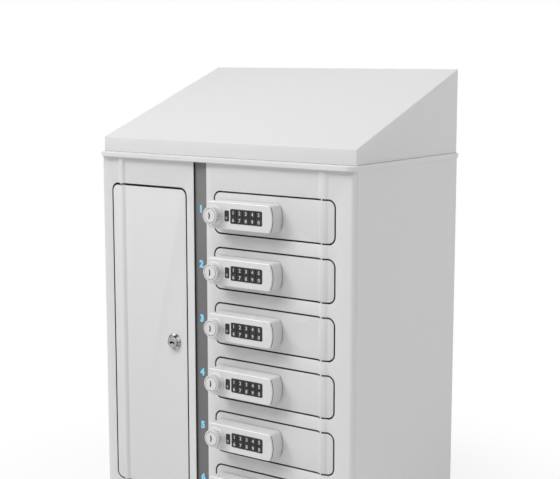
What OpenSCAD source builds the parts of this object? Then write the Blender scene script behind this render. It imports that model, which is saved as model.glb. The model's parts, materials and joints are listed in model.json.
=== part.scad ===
// Phone locker: a pressed steel cabinet with a tall service door, a column of
// small doors with keypad locks, and a sloped top. Millimetres, +Z up, +Y to
// the back. The origin is the centre of the footprint on the standing face.

/* [Compartments] */
// Number of phone compartments, one above the other
bays = 6; // [1:1:8]
// Height from one compartment to the next
bay_pitch = 72.5; // [70:0.5:110]
// Height of each compartment's door opening
opening_h = 55.9; // [50:0.1:57]
// Width of each compartment's door opening
bay_open_w = 187.7; // [160:0.1:260]
// Width of the service door opening
service_open_w = 132.3; // [100:0.1:180]
// Corner radius of the door openings
opening_r = 10.5; // [6:0.5:14]

/* [Cabinet] */
// Depth from the front face to the back face
body_d = 256.5; // [200:0.5:360]
// Thickness of the steel sheet
sheet = 1.2; // [1:0.1:1.6]
// Width of the frame left of the service door
left_stile = 18.6; // [16:0.1:40]
// Width of the frame between the service door and the small doors
mid_stile = 45.3; // [42:0.1:70]
// Width of the frame right of the small doors
right_stile = 26.1; // [20:0.1:50]
// Height of the frame above the first opening
top_rail = 35.25; // [28:0.25:60]
// Height of the frame below the last opening
bottom_rail = 41.85; // [28:0.05:80]
// Outer radius of the front upright corners
corner_r = 5.5; // [4:0.1:8]
// Depth of the folded returns round doors and openings
return_d = 12; // [10:0.5:14]
// Visible joint between the front frame and the side panels
seam = 0.4; // [0.3:0.1:0.8]

/* [Top] */
// Thickness of the cornice
cornice_t = 6.5; // [5:0.5:12]
// Overhang of the cornice at the front
cornice_front = 6.8; // [6.8:0.1:12]
// Overhang of the cornice at each side
cornice_side = 2; // [1:0.1:6]
// Plan radius of the cornice's front corners
cornice_r = 14; // [9:0.5:20]
// Bevel along the cornice's outer edges
cornice_bevel = 0.9; // [0.3:0.1:2]
// Height of the sloped top's front face
hood_front_h = 19.4; // [14:0.1:40]
// Height of the sloped top's back edge
hood_back_h = 111.5; // [60:0.5:160]
// Step in from the cabinet's sides to the sloped top
hood_inset = 0.9; // [0.5:0.1:6]
// Step back from the cabinet's front to the sloped top
hood_setback = 5.4; // [2:0.1:12]

/* [Hinges] */
// Gap round each door
door_gap = 2; // [1.5:0.1:2.5]
// Gap above the service door, which hangs a little low in its opening
service_top_gap = 2.8; // [1.5:0.1:4]
// Outer radius of the upright hinge beads
bead_r = 6.5; // [5.8:0.1:6.7]
// Fillet at the foot of each bead
bead_fillet = 2.5; // [0.5:0.1:3]
// Set of the hinge rods behind the frame's face
hinge_set = 3.2; // [2.6:0.1:3.6]
// From a hinge bead's centre to the nearest edge of its opening
hinge_inset = 18.8; // [17:0.1:22]
// Radius of the hinge rods
rod_r = 3; // [2:0.1:3.5]
// Running clearance on the hinge rods, on the radius
rod_clear = 0.05; // [0.03:0.01:0.08]
// Height of each hinge knuckle on a door
knuckle_h = 12; // [6:1:16]

/* [Number strip] */
// Width of the recessed strip between the doors
strip_w = 20.9; // [14:0.1:26]
// From the service opening to the strip
strip_inset = 12.2; // [10:0.1:14]
// Depth of the strip's face below the frame's front
strip_recess = 3; // [1:0.5:4]
// Thickness of the strip
strip_t = 2; // [1:0.5:2.5]

/* [Keypad locks] */
// Length of the lock case
case_l = 102.6; // [98:0.1:112]
// Height of the lock case
case_h = 34.4; // [32:0.1:38]
// Depth from the door's face to the lock's face
case_d = 23; // [18:0.5:28]
// Thickness of the face plate
plate_t = 3; // [2.5:0.5:4]
// Radius of the convex right end of the case
end_r = 38; // [26:1:60]
// Radius of the case's corners
case_corner_r = 4.5; // [2:0.5:6]
// From the door's free edge to the case
lock_inset = 4.7; // [3:0.1:8]
// From the end of the case to the knob's axis
knob_inset = 13.9; // [13.5:0.1:16]
// Radius of the knob's grip
knob_r = 11.5; // [10:0.1:12]
// How far the knob stands out from the lock's face
knob_h = 11.5; // [9:0.5:18]
// Number of flutes round the knob
flutes = 20; // [12:1:28]
// Radius of the key core's disc
core_r = 9; // [7.5:0.1:9.3]
// Width of the keypad window
pad_w = 49.7; // [46:0.1:52]
// Height of the keypad window
pad_h = 18.6; // [16:0.1:20]
// From the knob's axis to the keypad window
pad_offset = 24.1; // [23.5:0.1:26]
// Width of the clear key
clear_w = 7.2; // [5:0.1:8]
// Height of the clear key
clear_h = 13.9; // [10:0.1:16]
// From the knob's axis to the clear key
clear_offset = 14.9; // [14.5:0.1:15.5]
// Travel of the keys
key_travel = 0.8; // [0.5:0.1:1]

/* [Latches] */
// Clearance between the tip of a small lock's cam and the divider's strike
cam_end_clear = 0.8; // [0.3:0.1:3]
// Width of the cams
cam_w = 12; // [8:0.5:14]
// Thickness of the cams
cam_t = 2.5; // [2:0.5:3]
// Clearance between a cam and the strike it passes behind
cam_clear = 1.5; // [0.5:0.1:2]
// How far a strike reaches into its opening
strike_reach = 7; // [4:0.5:8]
// From the service opening's edge to its lock's axis
service_lock_inset = 23.4; // [20:0.1:30]
// Height of the service lock above the middle of its opening
service_lock_rise = 1; // [-40:1:40]
// Reach of the service cam from its axis
service_cam_reach = 32; // [30:0.5:36]
// Radius of the service lock's bezel
bezel_r = 11; // [10:0.5:13]
// How far the service lock stands out from its door
bezel_h = 6; // [5:0.5:12]

/* [Service bay] */
// Radius of the cable holes between the bay and the compartments
cable_r = 9; // [6:0.5:12]
// Width of the charging hub, front to back
hub_w = 104; // [80:1:130]
// Height of the charging hub
hub_h = 210; // [150:1:240]
// Depth of the charging hub off the wall
hub_d = 26; // [20:1:36]
// From the back of the cabinet to the hub's middle
hub_back = 130; // [100:1:150]
// From the back of the cabinet to the cable holes
cable_back = 60; // [40:1:90]
// Width of the hub's mounting ears
ear_w = 30; // [20:1:50]
// From the left side of the cabinet to the inlet and vents
inlet_left = 70; // [60:1:90]
// Height of the power inlet
inlet_z = 90; // [60:1:140]
// From the top of the frame down to the first vent
vent_drop = 90; // [70:1:110]
// Width of the vents
vent_w = 56; // [30:1:90]
// Across spacing of the wall fixing holes
wall_x = 300; // [200:1:330]
// Upright spacing of the wall fixing holes
wall_z = 380; // [300:1:410]
// Across spacing of the base fixing holes
base_x = 320; // [240:1:340]
// Front to back spacing of the base fixing holes
base_y = 170; // [100:1:190]
// Radius of the fixing holes
fixing_r = 3.5; // [2.5:0.1:5]

/* [Hidden] */
$fn = 64;
eps = 0.01;
body_w = left_stile + service_open_w + mid_stile + bay_open_w + right_stile;
frame_h = bottom_rail + opening_h + (bays - 1) * bay_pitch + top_rail;
body_h = frame_h + cornice_t;
front = -body_d / 2;
back = body_d / 2;
left = -body_w / 2;
right = body_w / 2;
inside = sheet + 2 * eps;

// Openings, from left to right and from the top down
service_x0 = left + left_stile;
service_x1 = service_x0 + service_open_w;
bay_x0 = service_x1 + mid_stile;
bay_x1 = bay_x0 + bay_open_w;
open_z1 = frame_h - top_rail;
open_z0 = bottom_rail;
function bay_z0(i) = open_z1 - opening_h - (i - 1) * bay_pitch;
function bay_mid(i) = bay_z0(i) + opening_h / 2;
rail_h = bay_pitch - opening_h;

// Hinges
service_hinge_x = service_x0 + hinge_inset;
bay_hinge_x = bay_x1 - hinge_inset;
hinge_y = front + hinge_set;
bore_r = rod_r + rod_clear;
bead_in_r = bead_r - sheet;
foot_flats = 5;
knuckle_r = bead_r - sheet / 2;
end_knuckle_h = 20;
washer_r = knuckle_r - 0.3;
washer_play = 0.3;

// Folded joint between the front frame and the side panels
seam_y = front + corner_r + 1;
lap_d = 12;
side_y0 = seam_y + seam;

// Walls inside the cabinet
wall_x1 = bay_x0 - sheet;
wall_x0 = wall_x1 - sheet;
strip_x0 = service_x1 + strip_inset;
strip_x1 = strip_x0 + strip_w;
channel_d = strip_recess + strip_t;
shelf_lip = 6;
base_lip = 12;
wall_lip = 14;
flange_w = 14;
// Places of the back panel's screws, on the side flanges and the divider
panel_screws = [
    for (x = [left + flange_w / 2 + sheet, right - flange_w / 2 - sheet, wall_x0 - wall_lip / 2],
         z = [base_lip + 6, bay_mid(ceil(bays / 2)), frame_h - 14]) [x, z]
];

// Keypad lock, in the lock's own frame: origin on the knob's axis at the
// door's face, +Y into the cabinet
lock_x = bay_x0 + door_gap + lock_inset + knob_inset;
plate_y = -case_d;
case_y = plate_y + plate_t;
reveal = 0.5;
barrel_r = 9;
barrel_end = sheet + 13;
spindle_r = 5;
spindle_clear = 0.05;
strike_t = 1.5;
strike_y = return_d + 0.5;
cam_y = strike_y + strike_t + cam_clear;
cam_seat_r = 3.9;
cam_reach = lock_x - wall_x1 - strike_t - cam_end_clear;
collar_r = knob_r + 1.3;
knob_gap = 0.3;
knob_y = plate_y - knob_h;
core_t = 2.5;
core_gap = 0.3;
stem_r = 3.5;
stem_l = 5;
mat_t = 1.2;
key_gap = 0.7;
key_cols = 5;
key_rows = 2;
window_clear = 0.3;
screw_x = pad_offset + pad_w + 4;
screw_r = 1.75;
screw_head_r = 3.4;
sink_clear = 0.15;

// Service lock
service_lock_x = service_x1 - service_lock_inset;
service_lock_z = (open_z0 + open_z1) / 2 + service_lock_rise;
service_barrel_r = 8.6;
plug_r = 6.4;
plug_clear = 0.05;
service_cam_y = strike_y + strike_t + cam_clear;

// Charging hub and power inlet
cable_y = back - cable_back;
hub_y = back - hub_back;
hub_z = frame_h / 2;
ear = 14;
ear_t = 2;
inlet_x = left + inlet_left;
vent_z = frame_h - vent_drop;
inlet_w = 27.4;
inlet_h = 19.8;

paint = [0.86, 0.86, 0.86];
door_paint = [0.82, 0.82, 0.82];
lock_white = [0.9, 0.9, 0.9];
key_black = [0.12, 0.12, 0.12];
steel = [0.7, 0.7, 0.72];
rubber = [0.1, 0.1, 0.1];

// ---------------------------------------------------------------- helpers

// Rectangle with rounded corners, from corner (x0, y0) to (x1, y1)
module rounded(x0, x1, y0, y1, r) {
    translate([x0 + r, y0]) square([x1 - x0 - 2 * r, y1 - y0]);
    translate([x0, y0 + r]) square([x1 - x0, y1 - y0 - 2 * r]);
    for (x = [x0 + r, x1 - r], y = [y0 + r, y1 - r])
        translate([x, y]) circle(r = r);
}

// Carries a drawing in X and Z back along Y, from y0 to y1
module along_y(y0, y1) {
    translate([0, y1, 0]) rotate([90, 0, 0]) linear_extrude(y1 - y0) children();
}

// Rounded plate that stands in X and Z, from y0 to y1
module slab(x0, x1, z0, z1, r, y0, y1) {
    along_y(y0, y1) rounded(x0, x1, z0, z1, r);
}

// Plain block between two corners
module block(x0, x1, y0, y1, z0, z1) {
    translate([x0, y0, z0]) cube([x1 - x0, y1 - y0, z1 - z0]);
}

// Upright cylinder
module post(x, y, z0, z1, r) {
    translate([x, y, z0]) cylinder(h = z1 - z0, r = r);
}

// Cylinder along Y
module rod_y(x, z, y0, y1, r) {
    translate([x, y1, z]) rotate([90, 0, 0]) cylinder(h = y1 - y0, r = r);
}

// Solid turned about the Y axis from a drawing of (radius, y) points
module turned(points) {
    rotate([-90, 0, 0]) rotate_extrude() polygon(points);
}

// Section of a hinge bead on the frame's face, round the rod that lies behind
// that face. Its feet are blended in with short flats, and the last flat runs
// on into the bead.
module bead_section() {
    foot = sqrt(pow(bead_r + bead_fillet, 2) - pow(hinge_set + bead_fillet, 2));
    swing = atan2(foot, hinge_set + bead_fillet);
    intersection() {
        translate([0, hinge_set]) circle(r = bead_r);
        translate([-bead_r, -bead_r]) square([2 * bead_r, bead_r + sheet]);
    }
    for (s = [-1, 1]) polygon([
        [0, 0],
        for (k = [0:foot_flats]) let (a = swing * k / foot_flats, in = k == foot_flats ? 0.9 : 1)
            [s * in * (foot - bead_fillet * sin(a)), in * bead_fillet * (cos(a) - 1)]
    ]);
}

// Upright bead between two heights
module bead(x, z0, z1) {
    translate([x, front, z0]) linear_extrude(z1 - z0) bead_section();
}

// ---------------------------------------------------------------- cabinet

// Section of the front frame seen from above: face, corners, side laps
module frame_section() {
    translate([left + corner_r, front]) square([body_w - 2 * corner_r, sheet]);
    for (s = [-1, 1]) {
        intersection() {
            translate([s * (right - corner_r), front + corner_r]) difference() {
                circle(r = corner_r);
                circle(r = corner_r - sheet);
            }
            translate([s > 0 ? right - corner_r : left, front]) square([corner_r, corner_r]);
        }
        translate([s > 0 ? right - 2 * sheet : left, front + corner_r])
            square([2 * sheet, seam_y - front - corner_r]);
        translate([s > 0 ? right - 2 * sheet : left + sheet, front + corner_r])
            square([sheet, seam_y + lap_d - front - corner_r]);
    }
}

// Channel that holds the number strip
module strip_channel() {
    difference() {
        translate([strip_x0 - sheet, front]) square([strip_w + 2 * sheet, channel_d + sheet]);
        translate([strip_x0, front - eps]) square([strip_w, channel_d + eps]);
    }
}

// Folded return round an opening
module opening_return(x0, x1, z0, z1) {
    slab(x0 - sheet, x1 + sheet, z0 - sheet, z1 + sheet, opening_r + sheet, front, front + return_d);
}

module opening_cut(x0, x1, z0, z1) {
    slab(x0, x1, z0, z1, opening_r, front - bead_r - 1, front + return_d + 1);
}

// Frame knuckles above, between and below the doors on one bead
module frame_knuckles(x, lower_edges, upper_edges) {
    for (k = [0:len(lower_edges) - 1])
        post(x, hinge_y, lower_edges[k], upper_edges[k], knuckle_r);
}

module front_frame() {
    bay_lower = [open_z0 - end_knuckle_h, for (i = [bays:-1:1]) bay_z0(i) + opening_h];
    bay_upper = [for (i = [bays:-1:1]) bay_z0(i), open_z1 + end_knuckle_h];
    color(paint) difference() {
        union() {
            difference() {
                union() {
                    linear_extrude(frame_h) difference() {
                        frame_section();
                        translate([strip_x0, front - eps]) square([strip_w, sheet + 2 * eps]);
                    }
                    linear_extrude(frame_h) strip_channel();
                    for (x = [service_hinge_x, bay_hinge_x]) bead(x, 0, frame_h);
                    opening_return(service_x0, service_x1, open_z0, open_z1);
                    for (i = [1:bays])
                        opening_return(bay_x0, bay_x1, bay_z0(i), bay_z0(i) + opening_h);
                }
                for (x = [service_hinge_x, bay_hinge_x])
                    post(x, hinge_y, -eps, frame_h + eps, bead_in_r);
            }
            frame_knuckles(service_hinge_x, [open_z0 - end_knuckle_h, open_z1],
                           [open_z0, open_z1 + end_knuckle_h]);
            frame_knuckles(bay_hinge_x, bay_lower, bay_upper);
        }
        opening_cut(service_x0, service_x1, open_z0, open_z1);
        for (i = [1:bays]) opening_cut(bay_x0, bay_x1, bay_z0(i), bay_z0(i) + opening_h);
        for (x = [service_hinge_x, bay_hinge_x]) post(x, hinge_y, -eps, frame_h + eps, bore_r);
    }
}

// Side panel, from the front frame's joint to the back, with a folded flange
// that the back panel is screwed to
module side_panel(s) {
    color(paint) difference() {
        union() {
            block(s > 0 ? right - sheet : left, s > 0 ? right : left + sheet, side_y0, back, 0, frame_h);
            block(s > 0 ? right - flange_w : left, s > 0 ? right : left + flange_w,
                  back - 2 * sheet, back - sheet, 0, frame_h);
        }
        panel_screw_holes(back - 2 * sheet - eps);
    }
}

module side_left() { side_panel(-1); }
module side_right() { side_panel(1); }

// Slot with round ends, standing in the back panel
module vent_slot(x, z, w, h) {
    slab(x - w / 2, x + w / 2, z - h / 2, z + h / 2, h / 2 - eps, back - inside, back + eps);
}

module back_panel() {
    vents = 5;
    vent_pitch = 14;
    color(paint) difference() {
        block(left + sheet, right - sheet, back - sheet, back, 0, frame_h);
        for (x = [-1, 1], z = [-1, 1])
            rod_y(x * wall_x / 2, frame_h / 2 + z * wall_z / 2, back - inside, back + eps, fixing_r);
        for (k = [0:vents - 1]) vent_slot(inlet_x, vent_z - k * vent_pitch, vent_w, 5);
        block(inlet_x - inlet_w / 2, inlet_x + inlet_w / 2, back - inside, back + eps,
              inlet_z - inlet_h / 2, inlet_z + inlet_h / 2);
        panel_screw_holes(back - inside);
        for (p = panel_screws) translate([p[0], back + eps, p[1]]) rotate([90, 0, 0])
            cylinder(h = sheet, r1 = screw_head_r + sink_clear, r2 = screw_r + sink_clear);
    }
}

// Holes for the back panel's screws, from y0 out through the back
module panel_screw_holes(y0) {
    for (p = panel_screws) rod_y(p[0], p[1], y0, back + eps, screw_r + 0.15);
}

module base_panel() {
    x0 = left + sheet;
    x1 = right - sheet;
    clear = 0.3;
    lap_y = seam_y + lap_d + clear;
    color(paint) difference() {
        union() {
            block(x0, x1, front + sheet, back - sheet, 0, sheet);
            block(x0, x1, back - 2 * sheet, back - sheet, 0, base_lip);
            for (s = [-1, 1])
                block(s > 0 ? x1 - sheet : x0, s > 0 ? x1 : x0 + sheet, lap_y, back - 2 * sheet, 0, base_lip);
        }
        for (s = [-1, 1]) {
            block(s > 0 ? x1 - sheet : x0 - eps, s > 0 ? x1 + eps : x0 + sheet, front, lap_y, -eps, inside);
            block(s > 0 ? right - corner_r : left, s > 0 ? right : left + corner_r,
                  front, front + corner_r, -eps, inside);
            block(s > 0 ? right - flange_w - clear : left, s > 0 ? right : left + flange_w + clear,
                  back - 2 * sheet - clear, back, -eps, base_lip + eps);
        }
        block(wall_x0 - wall_lip - clear, wall_x1 + clear, back - 2 * sheet - clear, back, sheet, base_lip + eps);
        block(strip_x0 - sheet, strip_x1 + sheet, front, front + channel_d + sheet, -eps, inside);
        for (x = [service_hinge_x, bay_hinge_x]) post(x, hinge_y, -eps, inside, bead_in_r);
        for (x = [-1, 1], y = [-1, 1])
            post(x * base_x / 2, y * base_y / 2, -eps, inside, fixing_r);
    }
}

// ------------------------------------------------------------------- top

// Section of the cornice out to its bevelled rim, as (distance, z) points
module rim_section() {
    polygon([[0, 0], [cornice_r - cornice_bevel, 0], [cornice_r, cornice_bevel],
             [cornice_r, cornice_t - cornice_bevel], [cornice_r - cornice_bevel, cornice_t], [0, cornice_t]]);
}

// Cornice: a tray with bevelled edges, rounded in plan at its front corners
module cornice() {
    x0 = left - cornice_side + cornice_r;
    x1 = right + cornice_side - cornice_r;
    y0 = front - cornice_front + cornice_r;
    skin = 1.5;
    rim = 8;
    color(paint) translate([0, 0, frame_h]) difference() {
        union() {
            block(x0, x1, y0, back, 0, cornice_t);
            along_x(x0, x1) translate([y0, 0]) mirror([1, 0]) rim_section();
            along_y(y0, back) translate([x1, 0]) rim_section();
            along_y(y0, back) translate([x0, 0]) mirror([1, 0]) rim_section();
            for (x = [x0, x1]) translate([x, y0, 0]) rotate_extrude() rim_section();
        }
        block(left + rim, right - rim, front + rim, back - rim, -eps, cornice_t - skin);
    }
}

// Side view of the sloped top, as (y, z) points
module hood_side(y0, y1, z0, z1, z2) {
    polygon([[y0, z0], [y1, z0], [y1, z2], [y0, z1]]);
}

// Carries a drawing in Y and Z across X, from x0 to x1
module along_x(x0, x1) {
    translate([x0, 0, 0]) rotate([90, 0, 90]) linear_extrude(x1 - x0) children();
}

module sloped_top() {
    y0 = front + hood_setback;
    slope = (hood_back_h - hood_front_h) / (back - y0);
    drop = sheet * sqrt(1 + slope * slope);
    hem = 14;
    color(paint) translate([0, 0, body_h]) difference() {
        along_x(left + hood_inset, right - hood_inset)
            hood_side(y0, back, 0, hood_front_h, hood_back_h);
        along_x(left + hood_inset + sheet, right - hood_inset - sheet)
            hood_side(y0 + sheet, back - sheet, sheet,
                      hood_front_h + slope * sheet - drop, hood_back_h - slope * sheet - drop);
        block(left + hood_inset + hem, right - hood_inset - hem, y0 + hem, back - hem, -eps, inside);
    }
}

// ---------------------------------------------------------------- inside

module divider_wall() {
    color(paint) difference() {
        union() {
            block(wall_x0, wall_x1, front + sheet, back - sheet, sheet, frame_h);
            block(wall_x0 - wall_lip, wall_x1, back - 2 * sheet, back - sheet, sheet, frame_h);
        }
        panel_screw_holes(back - 2 * sheet - eps);
        for (i = [1:bays]) translate([wall_x0 - eps, cable_y, bay_mid(i)]) rotate([0, 90, 0])
            cylinder(h = inside, r = cable_r);
    }
}

// One shelf: a plate with a lip at the back, notched round the frame
module shelf(z) {
    x1 = right - sheet;
    difference() {
        union() {
            block(wall_x1, x1, front + sheet, back - 2 * sheet, z - sheet / 2, z + sheet / 2);
            block(wall_x1, x1, back - 3 * sheet, back - 2 * sheet, z - shelf_lip, z);
        }
        block(right - 2 * sheet - eps, x1 + eps, front, seam_y + lap_d + 0.2, z - shelf_lip, z + sheet);
        block(right - corner_r, x1 + eps, front, front + corner_r, z - sheet, z + sheet);
        post(bay_hinge_x, hinge_y, z - sheet, z + sheet, knuckle_r + 0.2);
    }
}

module shelves() {
    color(paint) for (i = [0:bays]) shelf(open_z1 + rail_h / 2 - i * bay_pitch);
}

// Strike and door stop of one compartment, an angle on the divider wall
module bay_strike(i) {
    leg = 18;
    half = 20;
    z = bay_mid(i);
    block(wall_x1, wall_x1 + strike_t, front + strike_y, front + strike_y + leg, z - half, z + half);
    block(wall_x1, bay_x0 + strike_reach, front + strike_y, front + strike_y + strike_t, z - half, z + half);
}

module bay_strikes() {
    color(steel) for (i = [1:bays]) bay_strike(i);
}

// Strike and door stop of the service door, an angle on the frame's return
module service_strike() {
    leg = 9;
    half = 40;
    z = service_lock_z;
    y1 = front + strike_y + strike_t;
    color(steel) {
        block(service_x1 + sheet, service_x1 + sheet + strike_t, y1 - leg, y1, z - half, z + half);
        block(service_x1 - strike_reach, service_x1 + sheet + strike_t,
              y1 - strike_t, y1, z - half, z + half);
    }
}

module number_strip() {
    side_gap = 0.15;
    color([0.45, 0.45, 0.45])
        block(strip_x0 + side_gap, strip_x1 - side_gap, front + strip_recess, front + channel_d, 0, frame_h);
}

// Grommet in a wall normal to X: two flanges and a neck with a cable hole
module grommet(z) {
    flange = 2;
    neck_clear = 0.1;
    hole = cable_r - 3.5;
    translate([(wall_x0 + wall_x1) / 2, cable_y, z]) rotate([0, 90, 0]) rotate_extrude() polygon([
        [hole, -flange - sheet / 2], [cable_r + 3, -flange - sheet / 2],
        [cable_r + 3, -sheet / 2], [cable_r - neck_clear, -sheet / 2],
        [cable_r - neck_clear, sheet / 2], [cable_r + 3, sheet / 2],
        [cable_r + 3, flange + sheet / 2], [hole, flange + sheet / 2]
    ]);
}

module cable_grommets() {
    color(rubber) for (i = [1:bays]) grommet(bay_mid(i));
}

// Charging hub: a case with two ears and a column of sockets
module charging_hub() {
    x1 = wall_x0;
    socket_w = 13.2;
    socket_h = 5.8;
    socket_depth = 11;
    socket_pitch = hub_h / (bays + 1);
    color([0.2, 0.2, 0.22]) difference() {
        union() {
            along_x(x1 - hub_d, x1) rounded(hub_y - hub_w / 2, hub_y + hub_w / 2,
                                            hub_z - hub_h / 2, hub_z + hub_h / 2, 5);
            along_x(x1 - ear_t, x1) rounded(hub_y - ear_w / 2, hub_y + ear_w / 2,
                                            hub_z - hub_h / 2 - ear, hub_z + hub_h / 2 + ear, 4);
        }
        for (k = [1:bays])
            block(x1 - hub_d - eps, x1 - hub_d + socket_depth, hub_y - socket_w / 2, hub_y + socket_w / 2,
                  hub_z + hub_h / 2 - k * socket_pitch - socket_h / 2,
                  hub_z + hub_h / 2 - k * socket_pitch + socket_h / 2);
        for (s = [-1, 1]) translate([x1 - ear_t - eps, hub_y, hub_z + s * (hub_h / 2 + ear / 2)])
            rotate([0, 90, 0]) cylinder(h = ear_t + 2 * eps, r = screw_r + 0.15);
    }
}

// Panel power inlet: a flange behind the panel and a body that fills its hole
module power_inlet() {
    flange = 8;
    flange_t = 3;
    depth = 24;
    clear = 0.2;
    y1 = back - sheet;
    color(rubber) difference() {
        union() {
            slab(inlet_x - inlet_w / 2 - flange, inlet_x + inlet_w / 2 + flange,
                 inlet_z - inlet_h / 2 - 3, inlet_z + inlet_h / 2 + 3, 3, y1 - flange_t, y1);
            block(inlet_x - inlet_w / 2 + clear, inlet_x + inlet_w / 2 - clear, y1 - depth, back,
                  inlet_z - inlet_h / 2 + clear, inlet_z + inlet_h / 2 - clear);
        }
        block(inlet_x - 11, inlet_x + 11, back - 16, back + eps, inlet_z - 7, inlet_z + 7);
    }
}

// Countersunk screw whose head lies just under the back panel's face
module panel_screw(x, z) {
    length = 8;
    cross = 0.8;
    translate([x, back - 0.04, z]) rotate([90, 0, 0]) difference() {
        union() {
            cylinder(h = sheet - 0.1, r1 = screw_head_r, r2 = screw_r);
            cylinder(h = length, r = screw_r);
        }
        for (a = [0, 90]) rotate(a) translate([-2, -cross / 2, -eps]) cube([4, cross, cross]);
    }
}

module fasteners() {
    color(steel) {
        for (p = panel_screws) panel_screw(p[0], p[1]);
        for (s = [-1, 1]) translate([wall_x0 - ear_t, hub_y, hub_z + s * (hub_h + ear) / 2]) {
            rotate([0, -90, 0]) cylinder(h = 1.8, r1 = screw_head_r, r2 = screw_head_r - 1);
            rotate([0, 90, 0]) cylinder(h = ear_t, r = screw_r);
        }
    }
}

// ----------------------------------------------------------------- hinges

module hinge_rods() {
    color(steel) for (x = [service_hinge_x, bay_hinge_x])
        post(x, hinge_y, open_z0 - end_knuckle_h, open_z1 + end_knuckle_h, rod_r);
}

module washer(x, z) {
    difference() {
        post(x, hinge_y, z, z + door_gap - washer_play, washer_r);
        post(x, hinge_y, z - eps, z + door_gap, bore_r);
    }
}

module hinge_washers() {
    color(steel) {
        washer(service_hinge_x, open_z0);
        washer(service_hinge_x, open_z1 - door_gap + washer_play);
        for (i = [1:bays]) {
            washer(bay_hinge_x, bay_z0(i));
            washer(bay_hinge_x, bay_z0(i) + opening_h - door_gap + washer_play);
        }
    }
}

// Pressed door pan with its returns, hinge bead and two knuckles
module door_pan(x0, x1, z0, z1, hinge_x) {
    r = opening_r - door_gap;
    difference() {
        union() {
            difference() {
                union() {
                    slab(x0, x1, z0, z1, r, front, front + return_d);
                    bead(hinge_x, z0, z1);
                }
                slab(x0 + sheet, x1 - sheet, z0 + sheet, z1 - sheet, r - sheet,
                     front + sheet, front + return_d + 1);
                post(hinge_x, hinge_y, z0 - eps, z1 + eps, bead_in_r);
            }
            post(hinge_x, hinge_y, z0, z0 + knuckle_h, knuckle_r);
            post(hinge_x, hinge_y, z1 - knuckle_h, z1, knuckle_r);
        }
        post(hinge_x, hinge_y, z0 - eps, z1 + eps, bore_r);
    }
}

module door(i) {
    z = bay_mid(i);
    color(door_paint) difference() {
        door_pan(bay_x0 + door_gap, bay_x1 - door_gap, bay_z0(i) + door_gap,
                 bay_z0(i) + opening_h - door_gap, bay_hinge_x);
        rod_y(lock_x, z, front - eps, front + inside, barrel_r + 0.2);
        rod_y(lock_x + screw_x, z, front - eps, front + inside, screw_r + 0.15);
    }
}

module service_door() {
    color(paint) difference() {
        door_pan(service_x0 + door_gap, service_x1 - door_gap, open_z0 + door_gap,
                 open_z1 - service_top_gap, service_hinge_x);
        rod_y(service_lock_x, service_lock_z, front - eps, front + inside, service_barrel_r + 0.15);
    }
}

// ------------------------------------------------------------ keypad lock

// Moves a lock part to door i
module at_lock(i) {
    translate([lock_x, front, bay_mid(i)]) children();
}

// Outline of the lock case in X and Z, taken in by inset on every side. Its
// right end is an arc of end_r, joined to the long sides by corner arcs.
module case_outline(inset = 0) {
    h = case_h / 2 - inset;
    r = case_corner_r - inset;
    x0 = -knob_inset + inset;
    arc_r = end_r - inset;
    arc_x = case_l - knob_inset - end_r;
    swing = asin((h - r) / (arc_r - r));
    corner_x = arc_x + (arc_r - r) * cos(swing);
    tip = [arc_x + arc_r * cos(swing), arc_r * sin(swing)];
    reach = 2 * arc_r;
    translate([x0 + r, -h]) square([corner_x - x0 - r, 2 * h]);
    translate([x0, -h + r]) square([r + eps, 2 * (h - r)]);
    polygon([[corner_x - eps, h], [corner_x, h], tip, [tip[0], -tip[1]], [corner_x, -h], [corner_x - eps, -h]]);
    intersection() {
        translate([arc_x, 0]) circle(r = arc_r, $fn = 180);
        translate([arc_x, 0]) polygon([[0, 0], [reach * cos(swing), reach * sin(swing)],
                                       [reach * cos(swing), -reach * sin(swing)]]);
    }
    for (x = [x0 + r, corner_x], z = [-h + r, h - r]) translate([x, z]) circle(r = r);
}

// Windows of the face plate, grown by clear
module pad_window(clear = 0) {
    rounded(pad_offset - clear, pad_offset + pad_w + clear, -pad_h / 2 - clear, pad_h / 2 + clear, 1.8);
}

module clear_window(clear = 0) {
    rounded(clear_offset - clear, clear_offset + clear_w + clear,
            -clear_h / 2 - clear, clear_h / 2 + clear, 1.5);
}

mat_x0 = clear_offset - 1;
mat_x1 = pad_offset + pad_w + 1.5;
mat_h = pad_h + 3;

module lock_housing() {
    pocket = mat_t + key_travel + 0.3;
    difference() {
        union() {
            along_y(case_y, 0) case_outline();
            rod_y(0, 0, -eps, barrel_end, barrel_r);
        }
        rod_y(0, 0, case_y - eps, barrel_end + eps, spindle_r + spindle_clear);
        slab(mat_x0 - 0.3, mat_x1 + 0.3, -mat_h / 2 - 0.3, mat_h / 2 + 0.3, 1.5, case_y - eps, case_y + pocket);
        rod_y(screw_x, 0, -8, eps, screw_r);
    }
}

module face_plate() {
    ease = 0.8;
    difference() {
        union() {
            hull() {
                along_y(plate_y, plate_y + eps) case_outline(ease, $fn = 32);
                along_y(plate_y + ease, plate_y + ease + eps) case_outline(0, $fn = 32);
            }
            along_y(plate_y + ease, case_y - reveal) case_outline();
            along_y(case_y - reveal - eps, case_y) case_outline(reveal);
        }
        rod_y(0, 0, plate_y - eps, case_y + eps, spindle_r + spindle_clear);
        along_y(plate_y - eps, case_y + eps) pad_window();
        along_y(plate_y - eps, case_y + eps) clear_window();
    }
}

module lock_case(i) {
    nut_af = 24;
    nut_t = 4;
    color(lock_white) at_lock(i) {
        lock_housing();
        face_plate();
    }
    color(steel) at_lock(i) {
        difference() {
            translate([0, sheet + nut_t, 0]) rotate([90, 0, 0])
                cylinder(h = nut_t, r = nut_af / sqrt(3), $fn = 6);
            rod_y(0, 0, sheet - eps, sheet + nut_t + eps, barrel_r + 0.1);
        }
        rod_y(screw_x, 0, sheet, sheet + 1.8, 3.4);
        rod_y(screw_x, 0, -6, sheet + eps, screw_r - 0.1);
    }
}

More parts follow.
